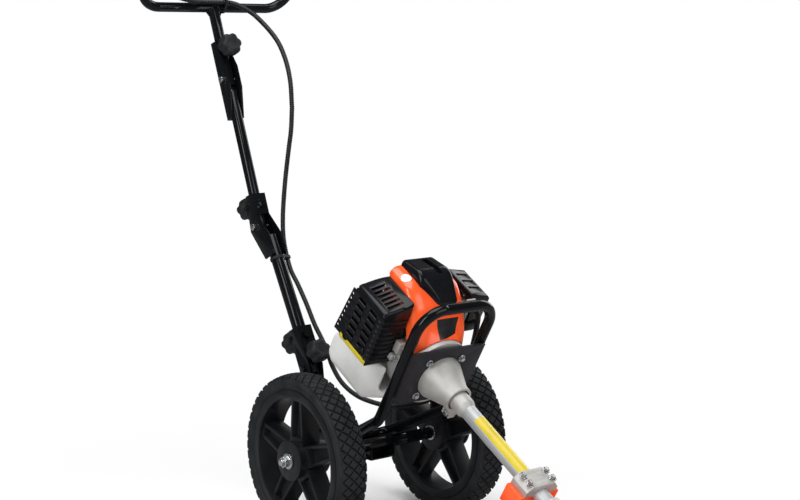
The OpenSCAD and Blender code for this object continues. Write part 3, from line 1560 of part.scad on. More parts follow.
// Upper half of the guard's clamp on the tube
module guard_clamp() {
  color("#a9abad") difference() {
    engine_frame() difference() {
      front_profile(-clamp_to, -clamp_from)
        polygon([[-clamp_half, seat_gap], [clamp_half, seat_gap], [clamp_half, clamp_h / 2],
          [clamp_half - bolt_head, clamp_h], [bolt_head - clamp_half, clamp_h], [-clamp_half, clamp_h / 2]]);
    }
    on_shaft(clamp_from - over) cylinder(h = clamp_to - clamp_from + 2 * over, r = tube_r + seat_gap);
    guard_bolt_places() {
      translate([0, 0, -over]) cylinder(h = 2 * clamp_h, d = bolt_d + 2 * seat_gap);
      translate([0, 0, clamp_h]) cylinder(h = clamp_h, d = 2 * bolt_head);
    }
  }
}

// A smooth curve through the route's points, as n + 1 points
function curve_point(p, t) = let (
  n = len(p) - 1,
  i = min(n - 1, floor(t)),
  f = t - i,
  a = i == 0 ? 2 * p[0] - p[1] : p[i - 1],
  b = p[i],
  c = p[i + 1],
  d = i == n - 1 ? 2 * p[n] - p[n - 1] : p[i + 2])
  ((2 * b) + (c - a) * f + (2 * a - 5 * b + 4 * c - d) * f * f + (3 * b - a - 3 * c + d) * f * f * f) / 2;

// Hose: a bored tube along a route, its wall stepping between crest and root at each rib
module hose(p, ribs) {
  rings = 2 * ribs;
  span = len(p) - 1;
  path = [for (k = [0:rings]) curve_point(p, span * k / rings)];
  way = [for (k = [0:rings]) unit(path[min(k + 1, rings)] - path[max(k - 1, 0)])];
  first = unit(cross(way[0], abs(way[0][2]) > upright ? [1, 0, 0] : [0, 0, 1]));
  side = [for (k = 0, s = first; k <= rings;
    k = k + 1, s = k <= rings ? unit(s - (s * way[k]) * way[k]) : s) s];
  bore_rings = ribs / 2;
  crest = hose_d / 2;
  root = crest * hose_root_share;
  outer = [for (k = [0:rings])
    ring(path[k], way[k], side[k], k == 0 || k == rings || k % 2 == 1 ? crest : root)];
  inner = [for (k = [0:bore_rings]) let (j = round(k * rings / bore_rings))
    ring(path[j], way[j], side[j], hose_bore / 2)];
  points = [for (loop = concat(outer, inner)) each loop];
  base = (rings + 1) * hose_sides;
  skin = [for (k = [0:rings - 1], j = [0:hose_sides - 1])
    each quad(k * hose_sides, (k + 1) * hose_sides, j)];
  bore = [for (k = [0:bore_rings - 1], j = [0:hose_sides - 1])
    each quad(base + (k + 1) * hose_sides, base + k * hose_sides, j)];
  ends = [for (j = [0:hose_sides - 1]) each concat(quad(base, 0, j),
    quad(rings * hose_sides, base + bore_rings * hose_sides, j))];
  polyhedron(points, concat(skin, bore, ends));
}

// A ring of points round one place of the hose
function ring(at, way, side, r) = let (other = cross(way, side))
  [for (j = [0:hose_sides - 1]) let (a = j * 360 / hose_sides) at + r * (cos(a) * side + sin(a) * other)];

// Two triangles between neighbouring points of two rings
function quad(low, high, j) = let (k = (j + 1) % hose_sides)
  [[low + j, high + k, low + k], [low + j, high + j, high + k]];

module conduit_upper() {
  color("#141416") placed() hose(route_upper, ribs_upper);
}

module conduit_middle() {
  color("#141416") placed() hose(route_middle, ribs_middle);
}

module conduit_lower() {
  color("#141416") placed() hose(route_lower, ribs_lower);
}

tyre_left();
tyre_right();
rim_left();
rim_right();
axle();
axle_tube();
axle_fasteners();
hoop_frame();
engine_plate();
base_bracket();
mast_post();
base_pivot_bolt();
fan_case();
crankcase();
cylinder_node();  // cylinder
crankshaft();
clutch_shoes();
engine_cover();
top_cap();
spark_plug();
muffler();
muffler_cover();
carburettor();
carb_lever();
air_filter_cover();
choke_lever();
primer_bulb();
starter_housing();
starter_handle();
fuel_tank();
fuel_cap();
bolts();
clutch_housing();
damper_bush();
drive_tube();
drive_shaft();
gear_case();
spindle();
guard();
guard_clamp();
head_body();
bump_knob();
lower_mast();
mid_mast();
handle_frame();
mid_pivot_bolt();
upper_pivot_bolt();
knob_upper();
knob_mid();
knob_base_rear();
knob_base_front();
tie_upper();
tie_lower();
grips();
throttle_housing();
throttle_trigger();
stop_switch();
conduit_upper();
conduit_middle();
conduit_lower();
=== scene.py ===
# Wheeled string trimmer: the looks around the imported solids.
# Shapes are written in millimetres, in the frames of part.scad; a frame's matrix turns them to metres.
import json
import math

import bmesh
import bpy
from mathutils import Matrix, Vector
from mathutils.bvhtree import BVHTree


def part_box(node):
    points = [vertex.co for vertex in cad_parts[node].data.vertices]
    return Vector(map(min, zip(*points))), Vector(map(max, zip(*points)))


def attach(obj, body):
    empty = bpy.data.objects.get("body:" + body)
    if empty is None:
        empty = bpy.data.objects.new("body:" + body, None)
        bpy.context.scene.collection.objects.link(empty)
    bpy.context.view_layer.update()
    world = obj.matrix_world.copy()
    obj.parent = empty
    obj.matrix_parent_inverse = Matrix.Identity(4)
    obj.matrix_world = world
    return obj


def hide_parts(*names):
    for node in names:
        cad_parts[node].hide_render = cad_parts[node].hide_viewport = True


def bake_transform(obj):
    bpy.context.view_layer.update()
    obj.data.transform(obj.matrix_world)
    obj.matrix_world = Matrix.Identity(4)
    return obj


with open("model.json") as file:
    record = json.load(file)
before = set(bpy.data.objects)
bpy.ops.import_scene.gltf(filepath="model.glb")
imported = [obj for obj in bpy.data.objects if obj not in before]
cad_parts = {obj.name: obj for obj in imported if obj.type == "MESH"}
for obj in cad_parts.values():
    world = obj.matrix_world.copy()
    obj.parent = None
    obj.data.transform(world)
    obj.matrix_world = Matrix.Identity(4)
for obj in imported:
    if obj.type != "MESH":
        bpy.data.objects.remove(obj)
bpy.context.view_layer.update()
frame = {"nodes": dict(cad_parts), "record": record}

# Sizes repeated from part.scad; a pivot is (fore and aft, up)
AXLE_LOW, AXLE_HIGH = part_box("axle")
ORIGIN_Y = (AXLE_LOW.y + AXLE_HIGH.y) / 2 * 1000
SEAT_GAP = 0.1
WHEEL_R, TRACK, RIM_R, RIM_SEAT_R, BEAD_HALF = 150, 318, 123, 117, 22
ENGINE_AHEAD, ENGINE_Z, TILT = 172, 302, 31
BASE_PIVOT, MID_PIVOT, UPPER_PIVOT = (200, 258), (363.905, 512.439), (472.849, 796.247)
LOWER_LEAN, UPPER_LEAN, UPPER_LEN = 29, 21, 152
MAST_R, BAR_R, TUBE_R, HOSE_R = 11, 9.5, 14, 5
ROUTE_UPPER = ((-185, 570, 1039), (-183, 552, 1041), (-178, 528, 1036), (-162, 512, 1012), (-135, 506, 982),
               (-98, 510, 960), (-50, 514, 950), (-5, 515, 949), (22, 515, 949), (33, 511, 948),
               (41, 490, 941), (44, 440, 921), (43, 372, 879), (42, 338, 840), (40, 318, 796),
               (38, 310, 745))
ROUTE_MIDDLE = ((38, 310, 745), (36, 311, 702), (34, 317, 663), (31, 325, 604), (28, 329, 545),
                (26, 327, 506), (24, 320, 480), (22, 308, 454))
ROUTE_LOWER = ((22, 308, 454), (22, 295, 430), (24, 275, 405), (26, 250, 370), (29, 229, 334), (33, 210, 306),
               (36, 196, 282), (39, 186, 258), (46, 168, 230), (56, 143, 210), (68, 112, 199), (82, 60, 196),
               (94, 0, 210), (102, -55, 234), (106, -95, 268), (108, -126, 308), (104, -146, 348),
               (93, -167, 382), (80, -183, 402), (70, -186, 414), (68, -176, 421))


# Frames
def turn(axis, degrees):
    return Matrix.Rotation(math.radians(degrees), 4, axis)


def shift(x, y, z):
    return Matrix.Translation((x, y, z))


METRES = Matrix.Scale(0.001, 4)
PLACED = METRES @ shift(0, ORIGIN_Y, 0)
ENGINE = PLACED @ shift(0, -ENGINE_AHEAD, ENGINE_Z) @ turn("X", TILT)
SIDE_NAME = {1: "left", -1: "right"}


def on_shaft(s):
    """A frame on the shaft's line, s ahead of the engine plate's face, with z pointing ahead."""
    return ENGINE @ shift(0, -s, 0) @ turn("X", 90)


def mast(pivot, lean):
    """A frame at a fold of the mast, with z up the tube."""
    return PLACED @ shift(0, pivot[0], pivot[1]) @ turn("X", -lean)


def wheel(side):
    """A frame at a wheel's middle, with z pointing out along the axle."""
    return PLACED @ shift(side * TRACK / 2, 0, WHEEL_R) @ turn("Y", side * 90) @ turn("Z", 90 + side * 90)


# Camera at the photograph's place
CAMERA_AT = (-1731.7, -2202.8, 875.1)
CAMERA_DIP, CAMERA_HEADING, CAMERA_LENS, SENSOR = 7.56, 39.04, 71.36, 36
camera_data = bpy.data.cameras.new("photo_camera")
camera_data.lens = CAMERA_LENS
camera_data.sensor_width = SENSOR
camera_data.sensor_fit = "HORIZONTAL"
camera = bpy.data.objects.new("photo_camera", camera_data)
camera.location = PLACED @ Vector(CAMERA_AT)
camera.rotation_euler = (math.radians(90 - CAMERA_DIP), 0, math.radians(-CAMERA_HEADING))
bpy.context.scene.collection.objects.link(camera)
bpy.context.scene.camera = camera
bpy.context.scene.view_settings.view_transform = "Standard"


# Materials
def linear(colour):
    """An sRGB hex colour as linear red, green, blue and alpha."""
    parts = [int(colour[k:k + 2], 16) / 255 for k in (1, 3, 5)]
    return (*[c / 12.92 if c <= 0.04045 else ((c + 0.055) / 1.055) ** 2.4 for c in parts], 1.0)


def add(tree, kind, inputs, **settings):
    """A node with its settings; an input is a value or another node's output."""
    made = tree.nodes.new(kind)
    for name, value in settings.items():
        setattr(made, name, value)
    for name, value in inputs.items():
        if isinstance(value, bpy.types.NodeSocket):
            tree.links.new(value, made.inputs[name])
        else:
            made.inputs[name].default_value = value
    return made


# How finely a finish's patches and grain break up, and where in the noise its tone and gloss change
PATCH_DETAIL, GRAIN_DETAIL, TONE_STOPS, GLOSS_SPAN = 5.0, 2.0, (0.35, 0.65), (0.3, 0.7)


def finish(name, tones, patch_mm, grain_mm, depth_mm, rough, along=None, **shader):
    """A surface whose tone and gloss drift in patches and whose grain is fine relief.

    rough is the least and most roughness; along is the slope and the draw-out of marks that run down
    the drive tube."""
    material = bpy.data.materials.new(name)
    material.use_nodes = True
    tree = material.node_tree
    skin = tree.nodes["Principled BSDF"]
    place = add(tree, "ShaderNodeTexCoord", {}).outputs["Object"]
    if along:
        slope, draw = along
        place = add(tree, "ShaderNodeMapping",
                    {"Vector": place, "Rotation": (math.radians(slope), 0, 0), "Scale": (1, draw, 1)},
                    vector_type="TEXTURE").outputs["Vector"]
    patches = add(tree, "ShaderNodeTexNoise",
                  {"Vector": place, "Scale": 1000 / patch_mm, "Detail": PATCH_DETAIL}).outputs["Fac"]
    grain = add(tree, "ShaderNodeTexNoise",
                {"Vector": place, "Scale": 1000 / grain_mm, "Detail": GRAIN_DETAIL}).outputs["Fac"]
    tone = add(tree, "ShaderNodeValToRGB", {"Fac": patches})
    for stop, at, colour in zip(tone.color_ramp.elements, TONE_STOPS, tones):
        stop.position = at
        stop.color = linear(colour)
    gloss = add(tree, "ShaderNodeMapRange",
                {"Value": patches, "From Min": GLOSS_SPAN[0], "From Max": GLOSS_SPAN[1],
                 "To Min": rough[0], "To Max": rough[1]})
    relief = add(tree, "ShaderNodeBump", {"Height": grain, "Strength": 1.0, "Distance": depth_mm / 1000})
    tree.links.new(tone.outputs["Color"], skin.inputs["Base Color"])
    tree.links.new(gloss.outputs["Result"], skin.inputs["Roughness"])
    tree.links.new(relief.outputs["Normal"], skin.inputs["Normal"])
    for socket, value in shader.items():
        skin.inputs[socket.replace("_", " ")].default_value = value
    return material


# Vulcanised tyre rubber: deep grey, dull, with a dusting that lifts some patches
RUBBER = finish("vulcanised_rubber", ("#131517", "#212427"), 35, 2.5, 0.12, (0.6, 0.78),
                Specular_IOR_Level=0.25)
# Moulded polypropylene of the rims: black with a soft sheen from a spark-eroded mould
RIM_PLASTIC = finish("moulded_polypropylene", ("#16171a", "#202225"), 50, 2.0, 0.03, (0.28, 0.4),
                     Specular_IOR_Level=0.2)
# Black powder coat on steel tube: wet-looking black with the faint waves of orange peel
POWDER_COAT = finish("black_powder_coat", ("#08090b", "#0e1013"), 90, 3.0, 0.02, (0.08, 0.14),
                     Specular_IOR_Level=0.22)
# Powder coat on folded plate: the same coat, laid thinner and flatter, so it looks satin
PLATE_COAT = finish("satin_powder_coat", ("#1c1c20", "#26262b"), 70, 2.2, 0.05, (0.36, 0.48),
                    Specular_IOR_Level=0.2)
# Zinc-plated steel: bright, slightly blue, with small cloudy patches of passivation
ZINC = finish("zinc_plated_steel", ("#b4bbc0", "#dcdedb"), 4, 1.5, 0.01, (0.18, 0.34), Metallic=1.0)
# Die-cast aluminium, shot-blasted: pale grey metal that is dull from its fine pits
CAST_ALUMINIUM = finish("die_cast_aluminium", ("#b3b2af", "#c3c2be"), 28, 1.8, 0.05, (0.5, 0.62),
                        Metallic=0.6)
# Drawn aluminium tube: pale and silkier than the casting, with drawing marks along its length
DRAWN_ALUMINIUM = finish("drawn_aluminium_tube", ("#b2b4b6", "#c2c4c5"), 3, 2.0, 0.01, (0.46, 0.58),
                         along=(TILT, 60), Metallic=0.6)
# Glossy ABS covers: a saturated orange-red with slow sink waves from moulding
ORANGE_ABS = finish("orange_moulded_abs", ("#f4521f", "#ff6029"), 60, 9.0, 0.02, (0.16, 0.25), IOR=1.54)
# Glass-filled nylon of the engine's covers: glossy black with a slight moulded texture
BLACK_NYLON = finish("black_glass_filled_nylon", ("#0d0d10", "#15161a"), 40, 2.4, 0.03, (0.12, 0.2),
                     Specular_IOR_Level=0.18)
# Textured nylon of knobs and housings: charcoal black, even and matt
KNOB_NYLON = finish("textured_nylon", ("#1a1b1d", "#242628"), 14, 1.3, 0.05, (0.48, 0.6),
                    Specular_IOR_Level=0.2)
# Blow-moulded polyethylene tank: milky, lets some light into the wall, uneven gloss
TANK_HDPE = finish("blow_moulded_polyethylene", ("#dadad7", "#e8e8e6"), 45, 6.0, 0.05, (0.3, 0.42),
                   Subsurface_Weight=0.25, Subsurface_Radius=(0.012, 0.012, 0.011),
                   Subsurface_Scale=1.0, IOR=1.5)
# Moulded red switch cap: clear glossy red
RED_ABS = finish("red_moulded_abs", ("#b02318", "#c22e20"), 10, 2.0, 0.01, (0.2, 0.3), IOR=1.54)
# Soft vinyl grips: black and dry to the eye
GRIP_VINYL = finish("soft_vinyl_grip", ("#17181a", "#202224"), 18, 1.4, 0.08, (0.58, 0.72),
                    Specular_IOR_Level=0.4)
# Corrugated vinyl hose: black with a narrow shine on each rib
HOSE_VINYL = finish("corrugated_vinyl", ("#0f1012", "#191b1d"), 25, 1.5, 0.02, (0.28, 0.4),
                    Specular_IOR_Level=0.35)
# Silicone primer bulb: cloudy, yellowish, half clear
BULB_SILICONE = finish("silicone_rubber", ("#cfc6ae", "#dcd5c2"), 8, 2.0, 0.01, (0.25, 0.35),
                       Subsurface_Weight=0.4, Subsurface_Radius=(0.004, 0.003, 0.002),
                       Subsurface_Scale=1.0)
# Heat-tinted sheet steel of the muffler: sooty, brown straw to blue grey
HEAT_STEEL = finish("heat_tinted_steel", ("#3d342b", "#3b3f43"), 18, 1.6, 0.03, (0.34, 0.5),
                    Metallic=1.0)
# Turned and ground steel of shafts and gears: darker than zinc, oily
GROUND_STEEL = finish("ground_steel", ("#7d8083", "#9a9da0"), 5, 1.4, 0.01, (0.22, 0.34), Metallic=1.0)
# Braided nylon rope: off-white, matt, with a coarse weave
ROPE_NYLON = finish("braided_nylon", ("#cfcabd", "#e2ded3"), 3, 1.2, 0.2, (0.6, 0.75))
# Glazed plug ceramic: warm white
CERAMIC = finish("glazed_ceramic", ("#e2ded5", "#ece9e2"), 12, 3.0, 0.005, (0.08, 0.14), IOR=1.6)
# Printed vinyl film: flat colour, smooth, no lettering
YELLOW_FILM = finish("yellow_vinyl_film", ("#c4af0c", "#cfb915"), 30, 4.0, 0.005, (0.3, 0.4))
WHITE_FILM = finish("white_vinyl_film", ("#e9e9e6", "#f2f2f0"), 30, 4.0, 0.005, (0.3, 0.4))
DARK_FILM = finish("dark_vinyl_film", ("#141517", "#1d1e21"), 30, 4.0, 0.005, (0.22, 0.32))

# The body that each CAD node rides on, read from the record
BODY_OF = {node: body for body, nodes in frame["record"]["behaviour"]["bodies"].items() for node in nodes}


# Meshes
def spaced(a, b, count):
    """Values from a to b in even steps."""
    return [a + (b - a) * k / count for k in range(count + 1)]


def circle(radius, steps):
    """Points of (x, y) round a circle."""
    angles = [2 * math.pi * k / steps for k in range(steps)]
    return [(radius * math.cos(a), radius * math.sin(a)) for a in angles]


def arc(radius, start, end, steps):
    """Points of (x, y) along an arc between two angles in degrees."""
    angles = [math.radians(q) for q in spaced(start, end, steps)]
    return [(radius * math.cos(a), radius * math.sin(a)) for a in angles]


def rectangle(x0, y0, x1, y1):
    return [(x0, y0), (x1, y0), (x1, y1), (x0, y1)]


def loft(rings, closed=True, caps=True):
    """Points and faces of a skin over rings of points, all of one count."""
    count = len(rings[0])
    points = [Vector(p) for ring in rings for p in ring]
    faces = []
    for i in range(len(rings) - 1):
        for j in range(count if closed else count - 1):
            k = (j + 1) % count
            faces.append((i * count + j, i * count + k, (i + 1) * count + k, (i + 1) * count + j))
    if caps:
        faces.append(tuple(reversed(range(count))))
        faces.append(tuple(range((len(rings) - 1) * count, len(rings) * count)))
    return points, faces


# A turned profile that ends at the axis ends at this radius
AXIS = 0.1


def turned(profile, steps=48):
    """A solid turned about z from a profile of (radius, height)."""
    return loft([[(x, y, z) for x, y in circle(r, steps)] for r, z in profile])


def smooth_path(points, per_span):
    """A smooth curve through the points, as part.scad draws it."""
    p = [Vector(q) for q in points]
    p = [2 * p[0] - p[1], *p, 2 * p[-1] - p[-2]]
    path = []
    for i in range(len(points) - 1):
        a, b, c, d = p[i:i + 4]
        for k in range(per_span):
            f = k / per_span
            path.append((2 * b + (c - a) * f + (2 * a - 5 * b + 4 * c - d) * f * f
                         + (3 * b - a - 3 * c + d) * f * f * f) / 2)
    return path + [p[-2]]


def even_path(path, step):
    """The same line with its points evenly spaced, about a step apart."""
    lengths = [0.0]
    for a, b in zip(path, path[1:]):
        lengths.append(lengths[-1] + (b - a).length)
    count = max(2, round(lengths[-1] / step))
    out, i = [], 0
    for k in range(count + 1):
        want = lengths[-1] * k / count
        while i < len(path) - 2 and lengths[i + 1] < want:
            i += 1
        span = lengths[i + 1] - lengths[i]
        out.append(path[i].lerp(path[i + 1], (want - lengths[i]) / span))
    return out


def swept(path, radii, sides, ring=False):
    """A tube along a path, one radius for each point; ring joins its end to its start."""
    count = len(path)
    ways = []
    for k in range(count):
        before = path[k - 1] if ring or k else path[0]
        after = path[(k + 1) % count] if ring or k < count - 1 else path[-1]
        ways.append((after - before).normalized())
    side = ways[0].orthogonal().normalized()
    rings = []
    for at, way, radius in zip(path, ways, radii):
        side = (side - way * side.dot(way)).normalized()
        other = way.cross(side)
        rings.append([at + radius * (c * side + s * other) for c, s in circle(1, sides)])
    if ring:
        rings.append(rings[0])
    return loft(rings, caps=not ring)


def prism(outline, low, high):
    """A flat outline of (x, y) pulled along z."""
    return loft([[(x, y, low) for x, y in outline], [(x, y, high) for x, y in outline]])


def moved(part, at):
    """A part with its points taken through a frame."""
    points, faces = part
    return [at @ Vector(p) for p in points], faces


# Points closer than MERGE_M metres become one; angles are in degrees between faces
MERGE_M, EDGE_ANGLE, FLAT_ANGLE, SHARP = 2e-6, 32, 0.6, 35
EASE_SEGMENTS, ROLL_SEGMENTS = 2, 5


def dress(name, parts, material, body, at=PLACED, sharp=SHARP, bevel=0, stands_for=()):
    """A piece from lists of points and faces, in the frame at, that rides on a body."""
    made = bmesh.new()
    for points, faces in parts:
        base = [made.verts.new(at @ Vector(p)) for p in points]
        for face in faces:
            made.faces.new([base[k] for k in face])
    bmesh.ops.remove_doubles(made, verts=made.verts, dist=MERGE_M)
    return settle(name, made, material, body, sharp, bevel, stands_for)


def sharp_edges(made):
    """The edges where two faces meet at more than the edge angle."""
    return [e for e in made.edges
            if len(e.link_faces) == 2 and e.calc_face_angle() > math.radians(EDGE_ANGLE)]


def round_edges(made, edges, radius, segments, clamp):
    bmesh.ops.bevel(made, geom=edges, offset=radius / 1000, offset_type="OFFSET", segments=segments,
                    profile=0.5, affect="EDGES", clamp_overlap=clamp)


def settle(name, made, material, body, sharp, bevel, stands_for):
    """Rounds the sharp edges of a mesh, shades it, puts it in the scene and attaches it to its body if it has
    one.
    """
    bmesh.ops.recalc_face_normals(made, faces=made.faces)
    if bevel:
        round_edges(made, sharp_edges(made), bevel, EASE_SEGMENTS, True)
    mesh = bpy.data.meshes.new(name)
    made.to_mesh(mesh)
    made.free()
    mesh.shade_smooth()
    mesh.set_sharp_from_angle(angle=math.radians(sharp))
    mesh.materials.append(material)
    piece = bpy.data.objects.new(name, mesh)
    bpy.context.scene.collection.objects.link(piece)
    if stands_for:
        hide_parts(*stands_for)
    if body:
        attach(piece, body)
    return piece


def eased(node, material, bevel, rolled=None):
    """A copy of a CAD node with its sharp edges rounded, standing for the node.

    rolled is a radius and a test on an edge's two ends in the engine's frame: those edges are rounded
    first."""
    made = bmesh.new()
    made.from_mesh(frame["nodes"][node].data)
    for layer in list(made.loops.layers.float_vector.values()):
        made.loops.layers.float_vector.remove(layer)
    bmesh.ops.remove_doubles(made, verts=made.verts, dist=MERGE_M)
    bmesh.ops.dissolve_limit(made, angle_limit=math.radians(FLAT_ANGLE), verts=made.verts, edges=made.edges)
    if rolled:
        radius, chosen = rolled
        edges = [e for e in sharp_edges(made) if chosen([ENGINE.inverted() @ v.co for v in e.verts])]
        round_edges(made, edges, radius, ROLL_SEGMENTS, False)
    return settle(node + "_eased", made, material, BODY_OF[node], SHARP, bevel, (node,))


# The throttle hose: corrugated vinyl in three lengths, each crossing one fold of the mast
ROUTE_STEPS, HOSE_SIDES, HOSE_SHARP = 24, 12, 70
HOSE_PITCH, HOSE_DEPTH, HOSE_WAVE = 3.6, 0.9, (1.0, 0.5, 0.0, 0.5)


def hose(name, route, node):
    """A length of hose along a route, standing for a node."""
    path = even_path(smooth_path(route, ROUTE_STEPS), HOSE_PITCH / len(HOSE_WAVE))
    radii = [HOSE_R - HOSE_DEPTH * HOSE_WAVE[k % len(HOSE_WAVE)] for k in range(len(path))]
    piece = dress(name, [swept(path, radii, HOSE_SIDES)], HOSE_VINYL, None, sharp=HOSE_SHARP,
                  stands_for=(node,))
    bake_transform(piece)


hose("hose_upper", ROUTE_UPPER, "conduit_upper")
hose("hose_middle", ROUTE_MIDDLE, "conduit_middle")
hose("hose_lower", ROUTE_LOWER, "conduit_lower")

# Tyres: a smooth casing with a lattice of diamond blocks
TREAD_ROUND, TREAD_ROWS, TREAD_HALF, TREAD_DEPTH, CROWN, CROWN_HALF = 48, 5, 25.5, 3.8, 4, 24
GROOVE_HALF, SHOULDER_GAP, BLOCK_DRAFT, BLOCK_EDGE = 1.1, 0.4, 0.35, 0.7
WALL_STEPS, WALL_BULGE, BULGE_FROM, BULGE_SPAN, BEAD_FLARE = 14, 4.6, 0.18, 0.82, 1.5
RIDGE_STEPS, RIDGE_H, TYRE_SHARP = (3, 11), 0.7, 38


def inset(outline, gaps):
    """An outline moved inwards, each side by its own gap."""
    lines = []
    for k, corner in enumerate(outline):
        way = (outline[(k + 1) % len(outline)] - corner).normalized()
        lines.append((corner + Vector((-way.y, way.x)) * gaps[k], way))
    out = []
    for k in range(len(lines)):
        (p, d), (q, e) = lines[k - 1], lines[k]
        out.append(p + d * ((q - p).cross(e) / d.cross(e)))
    return out


def tread_r(across):
    """The crowned tread's radius at a place across it."""
    return WHEEL_R - CROWN * (across / CROWN_HALF) ** 2


def wall_line():
    """A side wall from the tread's edge to the rim's seat, as (radius, across)."""
    edge_r, bead_r = tread_r(TREAD_HALF) - TREAD_DEPTH, RIM_R + SEAT_GAP
    line = []
    for step in range(1, WALL_STEPS + 1):
        t = step / WALL_STEPS
        bulge = (WALL_BULGE * math.sin(math.pi * (BULGE_FROM + BULGE_SPAN * t))
                 - WALL_BULGE * math.sin(math.pi * BULGE_FROM) * (1 - t))
        ridge = RIDGE_H if step in RIDGE_STEPS else 0
        across = TREAD_HALF + (BEAD_HALF + BEAD_FLARE - TREAD_HALF) * t + bulge + ridge
        line.append((edge_r + (bead_r - edge_r) * t, across))
    return line + [(bead_r, BEAD_HALF - SEAT_GAP), (RIM_SEAT_R + SEAT_GAP, BEAD_HALF - SEAT_GAP)]


def tyre(side):
    """A tyre's skin: the floor of the tread, its blocks, both walls and the seat on the rim."""
    points, faces = [], []
    pitch = 2 * math.pi * WHEEL_R / TREAD_ROUND

    def point(flat, radius):
        angle = flat[0] / WHEEL_R
        points.append(Vector((radius * math.cos(angle), radius * math.sin(angle), flat[1])))
        return len(points) - 1

    def place(row, k):
        return Vector(((k + row % 2 / 2) * pitch, (2 * row / TREAD_ROWS - 1) * TREAD_HALF))

    base = [[point(place(row, k), tread_r(place(row, k).y) - TREAD_DEPTH) for k in range(TREAD_ROUND)]
            for row in range(TREAD_ROWS + 1)]
    for row in range(TREAD_ROWS + 1):
        for k in range(TREAD_ROUND):
            ahead = k + row % 2
            corners = [(row, k)]
            corners += [(row - 1, ahead)] if row else []
            corners += [(row, k + 1)]
            corners += [(row + 1, ahead)] if row < TREAD_ROWS else []
            flat = [place(*c) for c in corners]
            groove = [GROOVE_HALF] * len(flat)
            if row == 0:
                groove[0] = SHOULDER_GAP
            if row == TREAD_ROWS:
                groove[-1] = SHOULDER_GAP
            loops = [[base[r][j % TREAD_ROUND] for r, j in corners]]
            for gap, drop in ((0, TREAD_DEPTH), (BLOCK_DRAFT, BLOCK_EDGE), (BLOCK_DRAFT + BLOCK_EDGE, 0)):
                ring = inset(flat, [g + gap for g in groove])
                loops.append([point(p, tread_r(p.y) - drop) for p in ring])
            for outer, inner in zip(loops, loops[1:]):
                for j in range(len(outer)):
                    i = (j + 1) % len(outer)
                    faces.append((outer[j], outer[i], inner[i], inner[j]))
            faces.append(tuple(loops[-1]))
    beads = []
    for end, row in ((-1, 0), (1, TREAD_ROWS)):
        last = base[row]
        for radius, across in wall_line():
            ring = [point(Vector((place(row, k).x, end * across)), radius) for k in range(TREAD_ROUND)]
            for k in range(TREAD_ROUND):
                j = (k + 1) % TREAD_ROUND
                faces.append((last[k], last[j], ring[j], ring[k]))
            last = ring
        beads.append(last)
    for k in range(TREAD_ROUND):
        j = (k + 1) % TREAD_ROUND
        faces.append((beads[0][k], beads[0][j], beads[1][j], beads[1][k]))
    name = SIDE_NAME[side]
    dress("tyre_" + name + "_blocks", [(points, faces)], RUBBER, "wheel_" + name, wheel(side), TYRE_SHARP,
          stands_for=("tyre_" + name,))


tyre(1)
tyre(-1)

# Where the muffler guard's outer corners lie, in the engine's frame: across, along the shaft, up
GUARD_SIDE_X, GUARD_WALL_X, GUARD_FRONT_A, GUARD_TOP_U, GUARD_ROLL = -117, -119, 60, 98, 5.0


def guard_corner(ends):
    """Whether an edge is one of the muffler guard's long outer corners."""
    top = all(p.z > GUARD_TOP_U for p in ends)
    front = all(p.y < GUARD_FRONT_A for p in ends)
    if top and (front or all(p.x < GUARD_SIDE_X for p in ends)):
        return True
    return front and all(p.x < GUARD_WALL_X for p in ends)


# CAD nodes with their edges eased: finish and edge radius
EASED = {
    "rim_left": (RIM_PLASTIC, 1.4), "rim_right": (RIM_PLASTIC, 1.4), "axle": (ZINC, 0.8),
    "axle_tube": (POWDER_COAT, 0.6), "axle_fasteners": (ZINC, 0.5), "hoop_frame": (POWDER_COAT, 0),
    "engine_plate": (PLATE_COAT, 0.8), "base_bracket": (POWDER_COAT, 0.7), "mast_post": (POWDER_COAT, 0.6),
    "base_pivot_bolt": (POWDER_COAT, 0.6), "fan_case": (CAST_ALUMINIUM, 0.8),
    "crankcase": (CAST_ALUMINIUM, 1.2), "cylinder": (CAST_ALUMINIUM, 0.4), "crankshaft": (GROUND_STEEL, 0.4),
    "clutch_shoes": (GROUND_STEEL, 0.4), "spark_plug": (CERAMIC, 0.4), "muffler": (HEAT_STEEL, 1.5),
    "muffler_cover": (BLACK_NYLON, 0.8, (GUARD_ROLL, guard_corner)), "carburettor": (CAST_ALUMINIUM, 0.8),
    "carb_lever": (ZINC, 0.3), "air_filter_cover": (BLACK_NYLON, 2.5), "choke_lever": (KNOB_NYLON, 0.5),
    "primer_bulb": (BULB_SILICONE, 0), "starter_housing": (BLACK_NYLON, 1.2),
    "starter_handle": (KNOB_NYLON, 1.5), "fuel_tank": (TANK_HDPE, 2.0),
    "clutch_housing": (CAST_ALUMINIUM, 1.0), "damper_bush": (GRIP_VINYL, 0.5),
    "drive_tube": (DRAWN_ALUMINIUM, 0.3), "drive_shaft": (GROUND_STEEL, 0),
    "gear_case": (CAST_ALUMINIUM, 1.0), "spindle": (GROUND_STEEL, 0), "guard": (ORANGE_ABS, 1.0),
    "guard_clamp": (CAST_ALUMINIUM, 1.0), "head_body": (KNOB_NYLON, 1.5), "bump_knob": (ORANGE_ABS, 1.2),
    "lower_mast": (POWDER_COAT, 0.5), "mid_mast": (POWDER_COAT, 0.5), "handle_frame": (POWDER_COAT, 0),
    "mid_pivot_bolt": (ZINC, 0.6), "upper_pivot_bolt": (ZINC, 0.6), "tie_upper": (KNOB_NYLON, 0),
    "tie_lower": (KNOB_NYLON, 0), "grips": (GRIP_VINYL, 0.8), "throttle_housing": (KNOB_NYLON, 1.0),
    "throttle_trigger": (KNOB_NYLON, 1.0), "stop_switch": (RED_ABS, 0.8),
}
dressed = {node: eased(node, *look) for node, look in EASED.items()}

